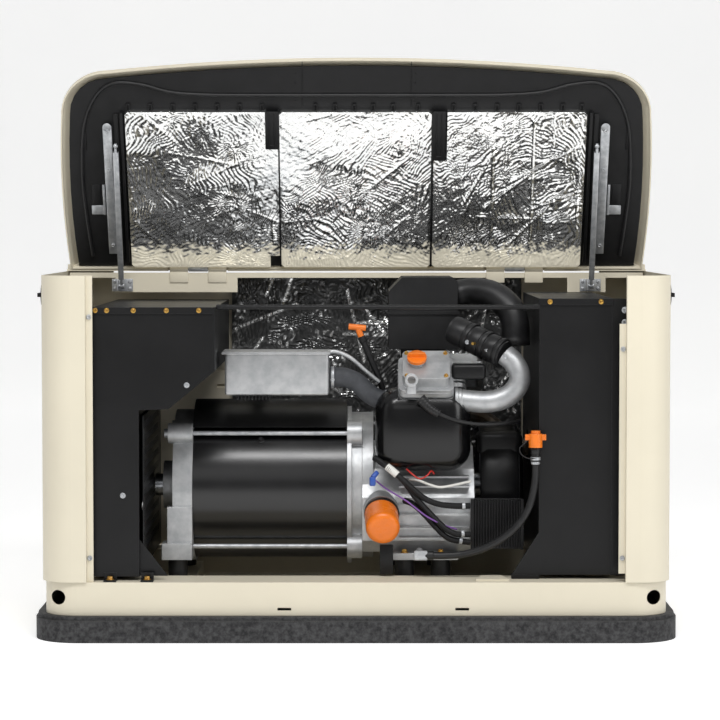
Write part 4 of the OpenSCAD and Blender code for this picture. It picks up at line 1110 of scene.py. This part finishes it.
def softboxes(scale):
    """Four area lights, each with its place, aim, width, height and power in watts."""
    lights = [
        ("overhead", (0.0, -2.1, 2.87), (0, -0.12, 0.36), 2.8, 0.5, 62),
        ("front", (-1.2, -5.6, 2.6), (0, 0, 0.5), 2.6, 2.0, 10),
        ("right", (3.4, -2.6, 1.8), (0.2, 0, 0.5), 1.2, 2.4, 34),
        ("left", (-3.6, -1.8, 1.6), (-0.2, 0, 0.5), 0.8, 2.0, 2),
    ]
    for name, spot, target, wide, tall, power in lights:
        aim = (Vector(target) - Vector(spot)).to_track_quat("-Z", "Y").to_euler()
        bpy.ops.object.light_add(type="AREA", location=spot, rotation=aim)
        lamp = bpy.context.object
        lamp.name = f"{name}_softbox"
        lamp.data.shape = "RECTANGLE"
        lamp.data.size, lamp.data.size_y = wide, tall
        lamp.data.energy = power * scale


def front_camera(scene, lens, tilt):
    """A long lens 5.3 m in front that looks a little down."""
    bpy.ops.object.camera_add(location=(0.0076, -5.305, 0.793), rotation=(math.pi / 2 - tilt, 0, 0))
    scene.camera = bpy.context.object
    scene.camera.data.lens = lens
    scene.camera.data.sensor_width = 36
    scene.camera.data.clip_end = 60
    scene.view_settings.view_transform = "Standard"


class GENERATOR_OT_stage(bpy.types.Operator):
    """Sets the floor, the backdrop, the studio lights and the camera"""
    bl_idname = "generator.stage"
    bl_label = "Stage"

    def execute(self, context):
        settings = context.scene.generator_looks
        studio_floor()
        studio_air(context.scene)
        softboxes(settings.light_power)
        front_camera(context.scene, settings.lens, settings.camera_tilt)
        return {"FINISHED"}


class GENERATOR_PT_looks(bpy.types.Panel):
    """Shows the generator's settings and build steps in the sidebar"""
    bl_idname = "GENERATOR_PT_looks"
    bl_label = "Generator"
    bl_space_type = "VIEW_3D"
    bl_region_type = "UI"
    bl_category = "Generator"

    def draw(self, context):
        settings = context.scene.generator_looks
        for key in GeneratorSettings.__annotations__:
            self.layout.prop(settings, key)
        for operator in STEPS:
            self.layout.operator(operator.bl_idname)


STEPS = [GENERATOR_OT_stage, GENERATOR_OT_finishes, GENERATOR_OT_foil, GENERATOR_OT_lid, GENERATOR_OT_hoses,
         GENERATOR_OT_wiring, GENERATOR_OT_fasteners, GENERATOR_OT_castings]


def register():
    for item in [GeneratorSettings, *STEPS, GENERATOR_PT_looks]:
        bpy.utils.register_class(item)
    bpy.types.Scene.generator_looks = bpy.props.PointerProperty(type=GeneratorSettings)


def unregister():
    del bpy.types.Scene.generator_looks
    for item in [GENERATOR_PT_looks, *reversed(STEPS), GeneratorSettings]:
        bpy.utils.unregister_class(item)


def main():
    """Builds every piece in order."""
    register()
    for step in STEPS:
        group, name = step.bl_idname.split(".")
        getattr(getattr(bpy.ops, group), name)()


if __name__ == "__main__":
    main()
